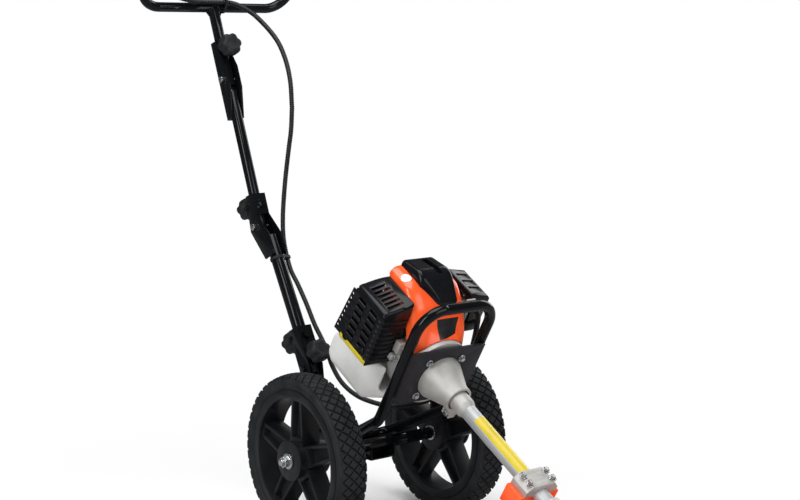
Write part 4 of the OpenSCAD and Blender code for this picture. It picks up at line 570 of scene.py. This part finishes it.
# Blow-moulded tank: its skin drawn soft over every corner
TANK_VOXEL_M, TANK_SMOOTHING, TANK_PASSES = 0.003, 0.5, 9
blown = dressed["fuel_tank"].modifiers.new("blown", "REMESH")
blown.mode = "VOXEL"
blown.voxel_size = TANK_VOXEL_M
blown.use_smooth_shade = True
drawn = dressed["fuel_tank"].modifiers.new("drawn", "SMOOTH")
drawn.factor = TANK_SMOOTHING
drawn.iterations = TANK_PASSES

# Engine covers: moulded skins over the solids' outlines, in the engine's frame
COVER_LEFT, COVER_RIGHT, COVER_EDGE, COVER_DROP = -59.8, 56, 24, 13
COVER_REACH, COVER_COLUMNS, EDGE_STEPS, COVER_SHARP = 60, 24, 8, 40
VOLUTE_R, MOUTH_R, MOUTH_A, MOUTH_CLEAR, LIP_DEPTH = 68.8, 66.6, 18, 10, 6
# The cover's sides reach down to a foot that climbs from the cheek; they stop short of the round rear edge
CHEEK_U, FOOT_U, FOOT_A, FOOT_RUN = 34, 68, 34, 24
REAR_A, REAR_SLACK, SIDE_LOW_U, SIDE_FRONT_A = 150, 0.01, 60, 70
# The cover's line over the middle: (along, up), from the fan case's mouth to the foot of the rear wall
COVER_LOW = ((18, 36), (19.5, 48), (23, 60), (28, 71.5), (34, 81), (41, 90.5))
COVER_HIGH = ((41, 90.5), (50, 102), (60, 112), (72, 121.5), (84, 129), (94, 132.6), (106, 134), (120, 134),
              (136, 134), (145, 133.6), (149, 131.5), (150, 127), (150, 112), (150, 90), (150, 69))
LOW_ROWS, LOW_STEPS, LOW_STEP, HIGH_STEPS, COVER_WALL_ROWS = 12, 6, 1.0, 4, 4
CAP_LEFT, CAP_RIGHT, CAP_EDGE, CAP_DROP, CAP_WALL_ROWS, CAP_SHARP = -36, 38, 10, 10, 3, 38
# The cap's front narrows from the left, and its sides end on the cover below
CAP_CUT, CAP_KNEE, CAP_RUN = 28, 90, 32
CAP_SEAT_LOW, CAP_SEAT_RISE, CAP_SEAT_TOP, CAP_SEAT_A = 111.6, 22, 133.6, 58
CAP_LINE = ((57.9, 111.5), (58.4, 115.5), (62, 120), (70, 128), (78, 135.5), (85, 141.5), (93, 147),
            (101, 150.2), (109, 151), (120, 148.8), (132, 146), (142, 143.8), (149, 142), (152, 139.5),
            (152.6, 135), (152.6, 119))
# Places across the cap between its round edges, close together at the slot's walls
CAP_MIDDLE = spaced(-25, 1.6, 8) + [2, 2.3, 8, 14.7, 15, 15.4, 22]
GROOVE_X, GROOVE_A, GROOVE_DEPTH = (2, 15), (98, 144), 7.5


def within(share):
    """A share held between none and all."""
    return max(0.0, min(1.0, share))


def rounded_columns(left, right, edge, drop, middle):
    """Places across a cover and how far each sinks, so that both edges come out round."""
    quarter = [math.radians(q) for q in spaced(0, 90, EDGE_STEPS)]
    turn_in = [(edge * (1 - math.cos(q)), drop * (1 - math.sin(q))) for q in quarter]
    flat = [(x, 0) for x in middle if left + edge < x < right - edge]
    return [(left + x, d) for x, d in turn_in] + flat + [(right - x, d) for x, d in reversed(turn_in)]


def sunk(line, drop):
    """A line of (along, up) moved inwards by a drop."""
    out = []
    for k, at in enumerate(line):
        way = (line[min(k + 1, len(line) - 1)] - line[max(k - 1, 0)]).normalized()
        out.append(at + drop * Vector((0, way.z, -way.y)))
    return out


def side_wall(edge, foot, rows):
    """A wall from an edge's points straight down to a foot that depends on the place along."""
    return loft([[Vector((p.x, p.y, u)) for u in spaced(p.z, min(p.z, foot(p.y)), rows)] for p in edge],
                closed=False, caps=False)


def cover_foot(along):
    return CHEEK_U + (FOOT_U - CHEEK_U) * within((along - FOOT_A) / FOOT_RUN)


def cap_foot(along):
    return min(CAP_SEAT_TOP, CAP_SEAT_LOW + CAP_SEAT_RISE * max(0.0, along - CAP_SEAT_A) / CAP_RUN)


def orange_cover():
    """The cover's skin in columns across it, each from the mouth's lip over the top to the rear wall."""
    low = [Vector((0, a, u)) for a, u in COVER_LOW]
    high = smooth_path([(0, a, u) for a, u in COVER_HIGH], HIGH_STEPS)
    across = spaced(-COVER_REACH, COVER_REACH, COVER_COLUMNS)
    columns = []
    for x, drop in rounded_columns(COVER_LEFT, COVER_RIGHT, COVER_EDGE, COVER_DROP, across):
        mouth = Vector((0, MOUTH_A, max(CHEEK_U, math.sqrt(VOLUTE_R ** 2 - x * x))))
        line = [mouth] + [p for p in low if p.z > mouth.z + MOUTH_CLEAR]
        line = even_path(smooth_path(line, LOW_STEPS), LOW_STEP) if len(line) > 2 else line
        line = even_path(line, sum((q - p).length for p, q in zip(line, line[1:])) / LOW_ROWS)
        skin = [Vector((x, p.y, p.z)) for p in sunk(line[:-1] + high, drop)]
        ahead = skin[0]
        lip = Vector((ahead.x * MOUTH_R / VOLUTE_R, ahead.y, ahead.z * MOUTH_R / VOLUTE_R))
        columns.append([lip + Vector((0, LIP_DEPTH, 0)), lip] + skin)
    walls = []
    for column in (columns[0], columns[-1]):
        edge = [p for p in column[2:]
                if p.y < REAR_A - COVER_DROP + REAR_SLACK and p.z > SIDE_LOW_U or p.y < SIDE_FRONT_A]
        walls.append(side_wall(edge, cover_foot, COVER_WALL_ROWS))
    return dress("orange_cover", [loft(columns, closed=False, caps=False), *walls], ORANGE_ABS, "chassis",
                 ENGINE, COVER_SHARP, stands_for=("engine_cover",))


def black_cap():
    """The cap's skin in columns across it, with a slot sunk into its top."""
    line = smooth_path([(0, a, u) for a, u in CAP_LINE], HIGH_STEPS)
    columns = []
    for x, drop in rounded_columns(CAP_LEFT, CAP_RIGHT, CAP_EDGE, CAP_DROP, CAP_MIDDLE):
        column = []
        for p in sunk(line, drop):
            cut = CAP_CUT * within((CAP_KNEE - p.y) / CAP_RUN) * (CAP_RIGHT - x) / (CAP_RIGHT - CAP_LEFT)
            groove = GROOVE_X[0] < x < GROOVE_X[1] and GROOVE_A[0] < p.y < GROOVE_A[1]
            column.append(Vector((x + cut, p.y, p.z - GROOVE_DEPTH * groove)))
        columns.append(column)
    walls = [side_wall(column, cap_foot, CAP_WALL_ROWS) for column in (columns[0], columns[-1])]
    dress("black_cap", [loft(columns, closed=False, caps=False), *walls], BLACK_NYLON, "chassis", ENGINE,
          CAP_SHARP, stands_for=("top_cap",))


cover = orange_cover()
black_cap()

# Films: plain printed vinyl laid on a piece, in the engine's frame; a turn is two angles and its steps
FILM_LIFT, CAST_FROM_M = 0.25, 0.06
BADGE, BADGE_GRID = ((-13, 30, 93), (35, 30, 93), (24, 30, 72), (-13, 30, 68)), (12, 8)
DISC_X, DISC_A, DISC_U, DISC_RADII, DISC_STEPS = -47, 114, 140, (0.05, 3, 6, 9), 32
STRIP_X, STRIP_U, STRIP_R, STRIP_TOP, STRIP_TURN, STRIP_A = -108, -1, 12.25, 3, (0, 55, 10), (61, 141)
TUBE_FILM_GAP, TUBE_FILM_TURN, TUBE_FILM_S = 0.2, (35, 152, 20), (120, 254)


def film(name, rows, aim, onto, material, closed=False):
    """Rows of points near a piece are cast along aim onto its skin and joined to a thin film."""
    skin = BVHTree.FromPolygons([v.co for v in onto.data.vertices], [p.vertices for p in onto.data.polygons])
    way = (ENGINE.to_3x3() @ Vector(aim)).normalized()
    laid = []
    for row in rows:
        ring = []
        for point in row:
            start = ENGINE @ Vector(point)
            hit = skin.ray_cast(start - way * CAST_FROM_M, way)[0]
            ring.append((hit if hit else start) - way * FILM_LIFT / 1000)
        laid.append(ring)
    dress(name, [loft(laid, closed=closed, caps=False)], material, "chassis", Matrix())


def patch(corners, across, along):
    """A grid of points between four corners."""
    a, b, c, d = [Vector(p) for p in corners]
    return [[a.lerp(b, i / across).lerp(d.lerp(c, i / across), j / along) for i in range(across + 1)]
            for j in range(along + 1)]


disc = [[(DISC_X + x, DISC_A + y, DISC_U) for x, y in circle(r, DISC_STEPS)] for r in DISC_RADII]
strip = [(STRIP_X - STRIP_R, STRIP_TOP)]
strip += [(STRIP_X - x, STRIP_U - y) for x, y in arc(STRIP_R, *STRIP_TURN)]
shield_film = [[(x, a, u) for x, u in strip] for a in STRIP_A]
bow = arc(TUBE_R + TUBE_FILM_GAP, *TUBE_FILM_TURN)
tube_film = [[(x, -s, u) for x, u in bow] for s in TUBE_FILM_S]
film("front_badge", patch(BADGE, *BADGE_GRID), (0, 1, 0), cover, DARK_FILM)
film("hood_disc", disc, (0, 0, -1), cover, WHITE_FILM, closed=True)
dress("shield_film", [loft(shield_film, closed=False, caps=False)], YELLOW_FILM, "chassis", ENGINE)
dress("tube_film", [loft(tube_film, closed=False, caps=False)], YELLOW_FILM, "chassis", ENGINE)

# Ribs
RIB_STEP, RIB_TIP, RIB_GROWTH, RIB_SIDES = 1.0, 0.35, 0.3, 10


def rib(path, radius):
    """A bar along a path that tapers to round ends."""
    line = even_path([Vector(p) for p in path], RIB_STEP)
    from_end = [min(k, len(line) - 1 - k) for k in range(len(line))]
    return swept(line, [radius * min(1.0, RIB_TIP + RIB_GROWTH * k) for k in from_end], RIB_SIDES)


# Muffler guard: louvres between its slots, ridges round its front edge and two screw bosses
LOUVRE_X, LOUVRE_R, LOUVRE_HALF, LOUVRE_MIDS = -119.4, 3.2, 13, (84.2, 117.8)
LOUVRE_LOW, LOUVRE_PITCH, LOUVRES = 10.9, 14.05, 6
RIDGE_R, RIDGE_LOW, RIDGE_PITCH, RIDGES = 2.0, 4, 10.2, 9
# A ridge's line round the corner, (across, along), and the case that its inner end stops at
RIDGE_LINE = ((-119.6, 70), (-119.6, 65), (-118.2, 61), (-114.5, 59.4))
RIDGE_END_X, RIDGE_END_A, RIDGE_CASE_R = 63, 59.4, 70
BOSS_X, BOSSES = -120, ((126, 6), (78, 12))
BOSS_SHAPE = ((AXIS, -1), (7.5, -1), (7.5, 1.2), (6.6, 2), (5, 2), (4.4, 0.4), (AXIS, 0.4))
GUARD_RIB_SHARP, BOSS_SHARP, BOSS_SIDES = 50, 40, 32
guard_ribs = []
for mid in LOUVRE_MIDS:
    for u in (LOUVRE_LOW + LOUVRE_PITCH * k for k in range(LOUVRES)):
        guard_ribs.append(rib(((LOUVRE_X, mid - LOUVRE_HALF, u), (LOUVRE_X, mid + LOUVRE_HALF, u)), LOUVRE_R))
for u in (RIDGE_LOW + RIDGE_PITCH * k for k in range(RIDGES)):
    inner = -max(RIDGE_END_X, math.sqrt(max(0, RIDGE_CASE_R ** 2 - u * u)))
    guard_ribs.append(rib([(x, a, u) for x, a in RIDGE_LINE + ((inner, RIDGE_END_A),)], RIDGE_R))
dress("muffler_guard_ribs", guard_ribs, BLACK_NYLON, "chassis", ENGINE, GUARD_RIB_SHARP)
bosses = [moved(turned(BOSS_SHAPE, BOSS_SIDES), shift(BOSS_X, a, u) @ turn("Y", -90)) for a, u in BOSSES]
dress("muffler_guard_bosses", bosses, BLACK_NYLON, "chassis", ENGINE, BOSS_SHARP)

# Fuel cap: a fluted wall and a grip bar across a dished top
FUEL_CAP_AT, CAP_FLUTES, FLUTE_STEPS, FLUTE_DEPTH = (45, 184.3, -57), 24, 4, 0.9
GRIP_HALF_L, GRIP_HALF_W, GRIP_LOW, GRIP_TOP = 12.5, 2.6, 15.5, 17.7
# (height, radius, share of the flutes' depth) up the cap and into its dish
CAP_SHAPE = ((0, 19.2, 0), (0.9, 20, 1), (14.2, 19.7, 1), (16.2, 18.7, 0.4), (17.4, 17, 0), (17.7, 15, 0),
             (16.4, 13, 0), (16.2, AXIS, 0))
cap_rings = []
for z, radius, share in CAP_SHAPE:
    ring = []
    for k in range(FLUTE_STEPS * CAP_FLUTES):
        angle = 2 * math.pi * k / (FLUTE_STEPS * CAP_FLUTES)
        reach = radius - share * FLUTE_DEPTH * (1 - math.cos(CAP_FLUTES * angle)) / 2
        ring.append((reach * math.cos(angle), reach * math.sin(angle), z))
    cap_rings.append(ring)
grip_bar = prism(rectangle(-GRIP_HALF_L, -GRIP_HALF_W, GRIP_HALF_L, GRIP_HALF_W), GRIP_LOW, GRIP_TOP)
dress("fuel_cap_fluted", [loft(cap_rings), grip_bar], KNOB_NYLON, "tank_cap",
      ENGINE @ shift(*FUEL_CAP_AT) @ turn("X", -90), stands_for=("fuel_cap",))

# Starter rope: a short length at the handle, as it lies at rest
ROPE_R, ROPE_HALF, ROPE_STEPS, ROPE_SIDES = 1.7, 8, 8, 12
pull_low, pull_high = [1000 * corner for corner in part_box("starter_handle")]
rope_y, rope_z = (pull_low.y + pull_high.y) / 2, (pull_low.z + pull_high.z) / 2
rope_line = [Vector((pull_low.x + dx, rope_y, rope_z)) for dx in spaced(-ROPE_HALF, ROPE_HALF, ROPE_STEPS)]
rope = dress("starter_rope", [swept(rope_line, [ROPE_R] * len(rope_line), ROPE_SIDES)], ROPE_NYLON, None,
             METRES)
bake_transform(rope)

# Line head: grip ribs on its cone and steel rings in its two eyelets; shares go down from its top
HEAD_BELLY_SHARE, EYELET_SHARE, HEAD_CONE, HEAD_SHARP = 0.7, 0.45, (55, 50), 60
HEAD_RIBS, HEAD_RIB_R, HEAD_RIB_SPAN, HEAD_RIB_SINK = 20, 1.6, (0.3, 0.95), 0.5
EYELET_R, EYELET_WIRE_R, EYELET_STEPS, EYELET_SIDES, EYELET_SINK = 3.6, 1.2, 28, 10, 0.3
head_low, head_high = [1000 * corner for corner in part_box("head_body")]
head_at = METRES @ shift((head_low.x + head_high.x) / 2, (head_low.y + head_high.y) / 2, 0)
belly = head_high.z + (head_low.z - head_high.z) * HEAD_BELLY_SHARE
eyelet_z = head_high.z + (head_low.z - head_high.z) * EYELET_SHARE
head_ribs = []
for k in range(HEAD_RIBS):
    angle = 2 * math.pi * (k + 0.5) / HEAD_RIBS
    line = []
    for t in HEAD_RIB_SPAN:
        radius = HEAD_CONE[0] + (HEAD_CONE[1] - HEAD_CONE[0]) * t - HEAD_RIB_SINK
        line.append((radius * math.cos(angle), radius * math.sin(angle), belly + (head_low.z - belly) * t))
    head_ribs.append(rib(line, HEAD_RIB_R))
dress("head_ribs", head_ribs, KNOB_NYLON, "head", head_at, HEAD_SHARP)
eyelets = []
for side in (-1, 1):
    ring = [Vector((side * (HEAD_CONE[0] - EYELET_SINK), y, eyelet_z + z))
            for y, z in circle(EYELET_R, EYELET_STEPS)]
    eyelets.append(swept(ring, [EYELET_WIRE_R] * EYELET_STEPS, EYELET_SIDES, ring=True))
dress("head_eyelets", eyelets, ZINC, "head", head_at, HEAD_SHARP)

# Cast lugs on the left of the fan case
LUG_OUTLINE, LUG_LOW, LUG_HIGH, LUG_BEVEL = rectangle(-73, 43, -57, 58), 24, 47, 2.2
EAR_AT, EAR_SIDES = (-69, 49, 11), 32
EAR_SHAPE = ((AXIS, 0), (6.8, 0), (7.5, 0.8), (7.5, 9), (AXIS, 9))
dress("case_lug", [prism(LUG_OUTLINE, LUG_LOW, LUG_HIGH)], CAST_ALUMINIUM, "chassis", ENGINE, bevel=LUG_BEVEL)
ear = moved(turned(EAR_SHAPE, EAR_SIDES), shift(*EAR_AT) @ turn("X", -90))
dress("case_ear", [ear], CAST_ALUMINIUM, "chassis", ENGINE)

# Collar that steps the drive tube up to the housing's mouth: (radius, place along the tube)
COLLAR_BORE, COLLAR_SIDES = TUBE_R + 0.02, 64
COLLAR_SHAPE = ((COLLAR_BORE, 52), (18, 52), (18.2, 82), (17.6, 84), (COLLAR_BORE, 92))
dress("tube_collar", [turned(COLLAR_SHAPE, COLLAR_SIDES)], CAST_ALUMINIUM, "chassis", on_shaft(0))

# Black sleeves over the axle's spacers, from inside the axle tube to short of the rim
SLEEVE_BORE, SLEEVE_R, SLEEVE_TIP_R = 8.02, 10.8, 10.2
SLEEVE_OVERLAP, SLEEVE_EDGE_GAP, SLEEVE_END_GAP = 2, 4.2, 3.4
rim_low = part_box("rim_left")[0].x * 1000
tube_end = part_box("axle_tube")[1].x * 1000
sleeve = turned([(SLEEVE_BORE, tube_end - SLEEVE_OVERLAP), (SLEEVE_R, tube_end - SLEEVE_OVERLAP),
                 (SLEEVE_R, rim_low - SLEEVE_EDGE_GAP), (SLEEVE_TIP_R, rim_low - SLEEVE_END_GAP),
                 (SLEEVE_BORE, rim_low - SLEEVE_END_GAP)])
for side in (-1, 1):
    dress("axle_sleeve_" + SIDE_NAME[side], [sleeve], POWDER_COAT, "chassis",
          PLACED @ shift(0, 0, WHEEL_R) @ turn("Y", side * 90))

# Clamp knobs: six lobes with rounded rims and a shallow dish on top
KNOB_R, KNOB_NECK_H, KNOB_NECK_R, KNOB_STEPS = 22.5, 6, 10, 96
LOBES, LOBE_DIP, LOBE_TURN, LOBE_POWER = 6, 3.4, 6, 1.5
NECK_EDGE, NECK_WALL_H, NECK_FLARE = 1, 5, 2
STUD_R, STUD_TIP, STUD_SINK, STUD_SIDES, THREAD_PITCH, THREAD_DEPTH = 4, 1, 1, 24, 0.6, 0.5
# (height, how far the edge draws in) up the knob, and the dish as (share of the radius, height)
KNOB_SHAPE = ((0, 4.0), (0.7, 1.8), (2.5, 0.5), (6, 0), (19, 0.2), (22.5, 0.9), (24.6, 2.4), (25.7, 4.6),
              (26, 7.5))
KNOB_DISH = ((0.52, 26), (0.42, 25.2), (0.2, 24.8), (0.02, 24.8))


def knob(name, node, at, stud):
    """A knob that stands for a node, on a threaded stud of a given length along z."""
    foot = stud + KNOB_NECK_H
    rings = []
    for z, draw in KNOB_SHAPE:
        ring = []
        for k in range(KNOB_STEPS):
            angle = 2 * math.pi * k / KNOB_STEPS
            lobe = (1 - math.cos(LOBES * (angle - math.radians(LOBE_TURN)))) / 2
            reach = KNOB_R - draw - LOBE_DIP * lobe ** LOBE_POWER
            ring.append((reach * math.cos(angle), reach * math.sin(angle), foot + z))
        rings.append(ring)
    for share, z in KNOB_DISH:
        rings.append([(x, y, foot + z) for x, y in circle(share * KNOB_R, KNOB_STEPS)])
    neck = turned([(AXIS, stud), (KNOB_NECK_R - NECK_EDGE, stud), (KNOB_NECK_R, stud + NECK_EDGE),
                   (KNOB_NECK_R, stud + NECK_WALL_H), (KNOB_NECK_R + NECK_FLARE, foot + NECK_EDGE),
                   (AXIS, foot + NECK_EDGE)])
    dress(name, [loft(rings), neck], KNOB_NYLON, BODY_OF[node], at, stands_for=(node,))
    thread = [(AXIS, 0), (STUD_R - STUD_TIP, 0)]
    thread += [(STUD_R - THREAD_DEPTH * (k % 2), STUD_TIP + THREAD_PITCH * k)
               for k in range(int((stud - STUD_TIP) / THREAD_PITCH))]
    thread += [(STUD_R, stud + STUD_SINK), (AXIS, stud + STUD_SINK)]
    dress(name + "_stud", [turned(thread, STUD_SIDES)], ZINC, BODY_OF[node], at)


# Where the knobs stand: height up the tube from its fold, and the base pair's depth and stud
UPPER_UP, MID_UP, REAR_UP, FRONT_UP, SEAT_DEPTH, WEB_OUT = 62, 44, 62, 20, 0.3, 3.3
REAR_Y, REAR_STUD, FRONT_Y, FRONT_STUD = -16, 29.3, -13.3, 6
upper_web = MAST_R + WEB_OUT
upper_fold, mid_fold, base_fold = [mast(pivot, lean) for pivot, lean in (
    (UPPER_PIVOT, UPPER_LEAN), (MID_PIVOT, UPPER_LEAN), (BASE_PIVOT, LOWER_LEAN))]
knob("knob_upper_lobed", "knob_upper",
     upper_fold @ shift(0, upper_web - SEAT_DEPTH, UPPER_UP) @ turn("X", 90), upper_web + MAST_R)
knob("knob_mid_lobed", "knob_mid",
     mid_fold @ shift(0, SEAT_DEPTH - upper_web, MID_UP) @ turn("X", -90), upper_web + MAST_R)
knob("knob_rear_lobed", "knob_base_rear",
     base_fold @ shift(0, REAR_Y, REAR_UP) @ turn("X", -90), REAR_STUD)
knob("knob_front_lobed", "knob_base_front",
     base_fold @ shift(0, FRONT_Y, FRONT_UP) @ turn("X", 90), FRONT_STUD)

# Hexagon bolts with washers
WASHER_H, WASHER_LOW_EDGE, WASHER_EDGE, HEX_SINK, HEX_EDGE_H, HEX_EDGE_R = 1.5, 0.3, 0.4, 0.1, 0.8, 0.9
SHANK_R, SHANK_SINK, SHANK_SIDES, BOLT_SHARP = 2.9, 0.2, 20, 30


def hex_ring(radius, z):
    return [(x, y, z) for x, y in circle(radius, 6)]


def bolt_head(at, stem, washer_r=7.0, head_r=5.0, head_h=6.0):
    """A washer, a head and a shank: z is out of the surface that the washer lies on."""
    washer = turned([(AXIS, 0), (washer_r - WASHER_LOW_EDGE, 0), (washer_r, WASHER_LOW_EDGE),
                     (washer_r, WASHER_H - WASHER_EDGE), (washer_r - WASHER_EDGE, WASHER_H),
                     (AXIS, WASHER_H)])
    head = loft([hex_ring(head_r, WASHER_H - HEX_SINK), hex_ring(head_r, head_h - HEX_EDGE_H),
                 hex_ring(head_r - HEX_EDGE_R, head_h)])
    shank = turned([(AXIS, -stem), (SHANK_R, -stem), (SHANK_R, SHANK_SINK), (AXIS, SHANK_SINK)], SHANK_SIDES)
    return [moved(part, at) for part in (washer, head, shank)]


# Bolts of the plate, of the two lugs, of the housing's pinch clamp and of the guard's saddle
PLATE_BOLT, PLATE_STEM, LUG_STEM = 36, 13, 8
LUG_FACE, LUG_BOLT, EAR_FACE, EAR_BOLT = -43, (-62, 36, 0), -49, (-69, 11, 0)
PINCH_S, PINCH_DROP, PINCH_HALF, PINCH_STEM = 56, 32.75, 7.1, 7
SADDLE_X, SADDLE_S, SADDLE_U, SADDLE_STEM = 25, (266, 284), 21, 36
heads = []
for x in (-PLATE_BOLT, PLATE_BOLT):
    for u in (-PLATE_BOLT, PLATE_BOLT):
        heads += bolt_head(on_shaft(0) @ shift(x, u, SEAT_GAP), stem=PLATE_STEM)
heads += bolt_head(on_shaft(LUG_FACE) @ shift(*LUG_BOLT), washer_r=5.5, head_r=4.0, head_h=5.0, stem=LUG_STEM)
heads += bolt_head(on_shaft(EAR_FACE) @ shift(*EAR_BOLT), washer_r=6.0, head_r=4.6, head_h=6.0, stem=LUG_STEM)
for side in (-1, 1):
    pinch = on_shaft(PINCH_S) @ shift(0, -PINCH_DROP, 0) @ turn("Y", side * 90)
    heads += bolt_head(pinch @ shift(0, 0, PINCH_HALF), stem=PINCH_STEM)
for x in (-SADDLE_X, SADDLE_X):
    for s in SADDLE_S:
        heads += bolt_head(ENGINE @ shift(x, -s, SADDLE_U), stem=SADDLE_STEM)
dress("bolt_set", heads, ZINC, "chassis", Matrix(), sharp=BOLT_SHARP, stands_for=("bolts",))

# Welds: rippled beads where tubes and plates join
BEAD_STEP, BEAD_LOW, BEAD_SWELL, BEAD_PITCH, BEAD_SIDES, BEAD_SHARP = 0.8, 0.82, 0.18, 3.2, 8, 60
WELD_OUT, WELD_STEPS, BAR_WELD_R, PLATE_WELD_R = 0.3, 64, 2.0, 1.7
PLATE_WELD_X, PLATE_WELD_A, PLATE_WELD_SPAN = 81.2, 4.4, (-30, 60, 40)
# Gussets in the corners under the crossbar: measures out from the tube and down from the bar's middle
FIN_IN, FIN_OUT, FIN_LOW, FIN_HIGH, FIN_HALF, FIN_BEVEL = 10.5, 19, 22, 8.5, 1.5, 0.5


def bead(name, path, body, at, radius, ring=True):
    """A bead of weld along a path; ring joins its end to its start."""
    line = even_path([Vector(p) for p in path] + ([Vector(path[0])] if ring else []), BEAD_STEP)
    line = line[:-1] if ring else line
    ripple = [math.cos(2 * math.pi * k * BEAD_STEP / BEAD_PITCH) for k in range(len(line))]
    radii = [radius * (BEAD_LOW + BEAD_SWELL * swell) for swell in ripple]
    dress(name, [swept(line, radii, BEAD_SIDES, ring)], POWDER_COAT, body, at, sharp=BEAD_SHARP)


collar = [(x, y, UPPER_LEN - math.sqrt(max(0.0, (BAR_R + WELD_OUT) ** 2 - y * y)))
          for x, y in circle(MAST_R + WELD_OUT, WELD_STEPS)]
bead("weld_crossbar", collar, "handle", upper_fold, BAR_WELD_R)
for side in (-1, 1):
    fin = [(side * FIN_IN, UPPER_LEN - FIN_LOW), (side * FIN_IN, UPPER_LEN - FIN_HIGH),
           (side * FIN_OUT, UPPER_LEN - FIN_HIGH)]
    dress("crossbar_gusset_" + SIDE_NAME[side], [prism(fin[::side], -FIN_HALF, FIN_HALF)], POWDER_COAT,
          "handle", upper_fold @ turn("X", 90), bevel=FIN_BEVEL)
    seam = [(side * PLATE_WELD_X, PLATE_WELD_A, u) for u in spaced(*PLATE_WELD_SPAN)]
    bead("weld_plate_" + SIDE_NAME[side], seam, "chassis", ENGINE, PLATE_WELD_R, ring=False)

# Floor and light: radius and fade in metres, levels as shares of full white
FLOOR_R, FLOOR_STEPS, FADE_FROM, FADE_TO = 30, 96, 0.25, 0.8
ROOM_LEVEL, MIRRORED_DIM = 0.3, 0.6
floor_mesh = bpy.data.meshes.new("studio_floor")
floor_mesh.from_pydata([(x, y, 0) for x, y in circle(FLOOR_R, FLOOR_STEPS)], [], [range(FLOOR_STEPS)])
floor = bpy.data.objects.new("studio_floor", floor_mesh)
bpy.context.scene.collection.objects.link(floor)
# Matt white sweep: keeps the shadow near the machine and fades to plain white further out
paper = bpy.data.materials.new("matt_white_sweep")
paper.use_nodes = True
tree = paper.node_tree
tree.nodes.clear()
place = add(tree, "ShaderNodeTexCoord", {}).outputs["Object"]
far = add(tree, "ShaderNodeVectorMath", {0: place}, operation="LENGTH").outputs["Value"]
fade = add(tree, "ShaderNodeMapRange",
           {"Value": far, "From Min": FADE_FROM, "From Max": FADE_TO}).outputs["Result"]
matt = add(tree, "ShaderNodeBsdfDiffuse", {"Color": linear("#f4f4f4")}).outputs["BSDF"]
white = add(tree, "ShaderNodeEmission", {"Color": linear("#ffffff"), "Strength": 1.0}).outputs["Emission"]
rays = add(tree, "ShaderNodeLightPath", {})
share = add(tree, "ShaderNodeMath", {0: rays.outputs["Is Camera Ray"], 1: fade},
            operation="MULTIPLY").outputs["Value"]
both = add(tree, "ShaderNodeMixShader", {0: share, 1: matt, 2: white}).outputs["Shader"]
# Reflections see the sweep and the room darker, so that black paint stays black beside its highlights
dark = add(tree, "ShaderNodeBsdfDiffuse", {"Color": linear("#000000")}).outputs["BSDF"]
dim = add(tree, "ShaderNodeMath", {0: rays.outputs["Is Glossy Ray"], 1: MIRRORED_DIM},
          operation="MULTIPLY").outputs["Value"]
shown = add(tree, "ShaderNodeMixShader", {0: dim, 1: both, 2: dark}).outputs["Shader"]
add(tree, "ShaderNodeOutputMaterial", {"Surface": shown})
floor_mesh.materials.append(paper)

world = bpy.data.worlds.new("studio")
bpy.context.scene.world = world
world.use_nodes = True
tree = world.node_tree
tree.nodes.clear()
rays = add(tree, "ShaderNodeLightPath", {})
level = add(tree, "ShaderNodeMapRange",
            {"Value": rays.outputs["Is Camera Ray"], "To Min": ROOM_LEVEL, "To Max": 1.0})
dimmed = add(tree, "ShaderNodeMath", {0: rays.outputs["Is Glossy Ray"], 1: -ROOM_LEVEL * MIRRORED_DIM,
                                      2: level.outputs["Result"]}, operation="MULTIPLY_ADD")
sky = add(tree, "ShaderNodeBackground", {"Color": linear("#ffffff"), "Strength": dimmed.outputs["Value"]})
add(tree, "ShaderNodeOutputWorld", {"Surface": sky.outputs["Background"]})

# Soft boxes: place and aim in mm, width and height in m, watts
LIGHTS = {"top_box": ((-300, -300, 2700), (0, 0, 400), 1.8, 1.8, 48),
          "left_box": ((-2600, -900, 1700), (0, 0, 450), 0.9, 2.2, 44),
          "front_box": ((700, -3000, 1500), (0, 0, 450), 1.8, 1.8, 26),
          "right_box": ((2500, 500, 1500), (0, 0, 450), 1.4, 2.2, 26)}
for name, (where, aim, width, height, watts) in LIGHTS.items():
    lamp = bpy.data.lights.new(name, "AREA")
    lamp.shape, lamp.size, lamp.size_y, lamp.energy = "RECTANGLE", width, height, watts
    box = bpy.data.objects.new(name, lamp)
    box.location = Vector(where) / 1000
    box.rotation_euler = ((Vector(aim) - Vector(where)) / 1000).to_track_quat("-Z", "Y").to_euler()
    bpy.context.scene.collection.objects.link(box)
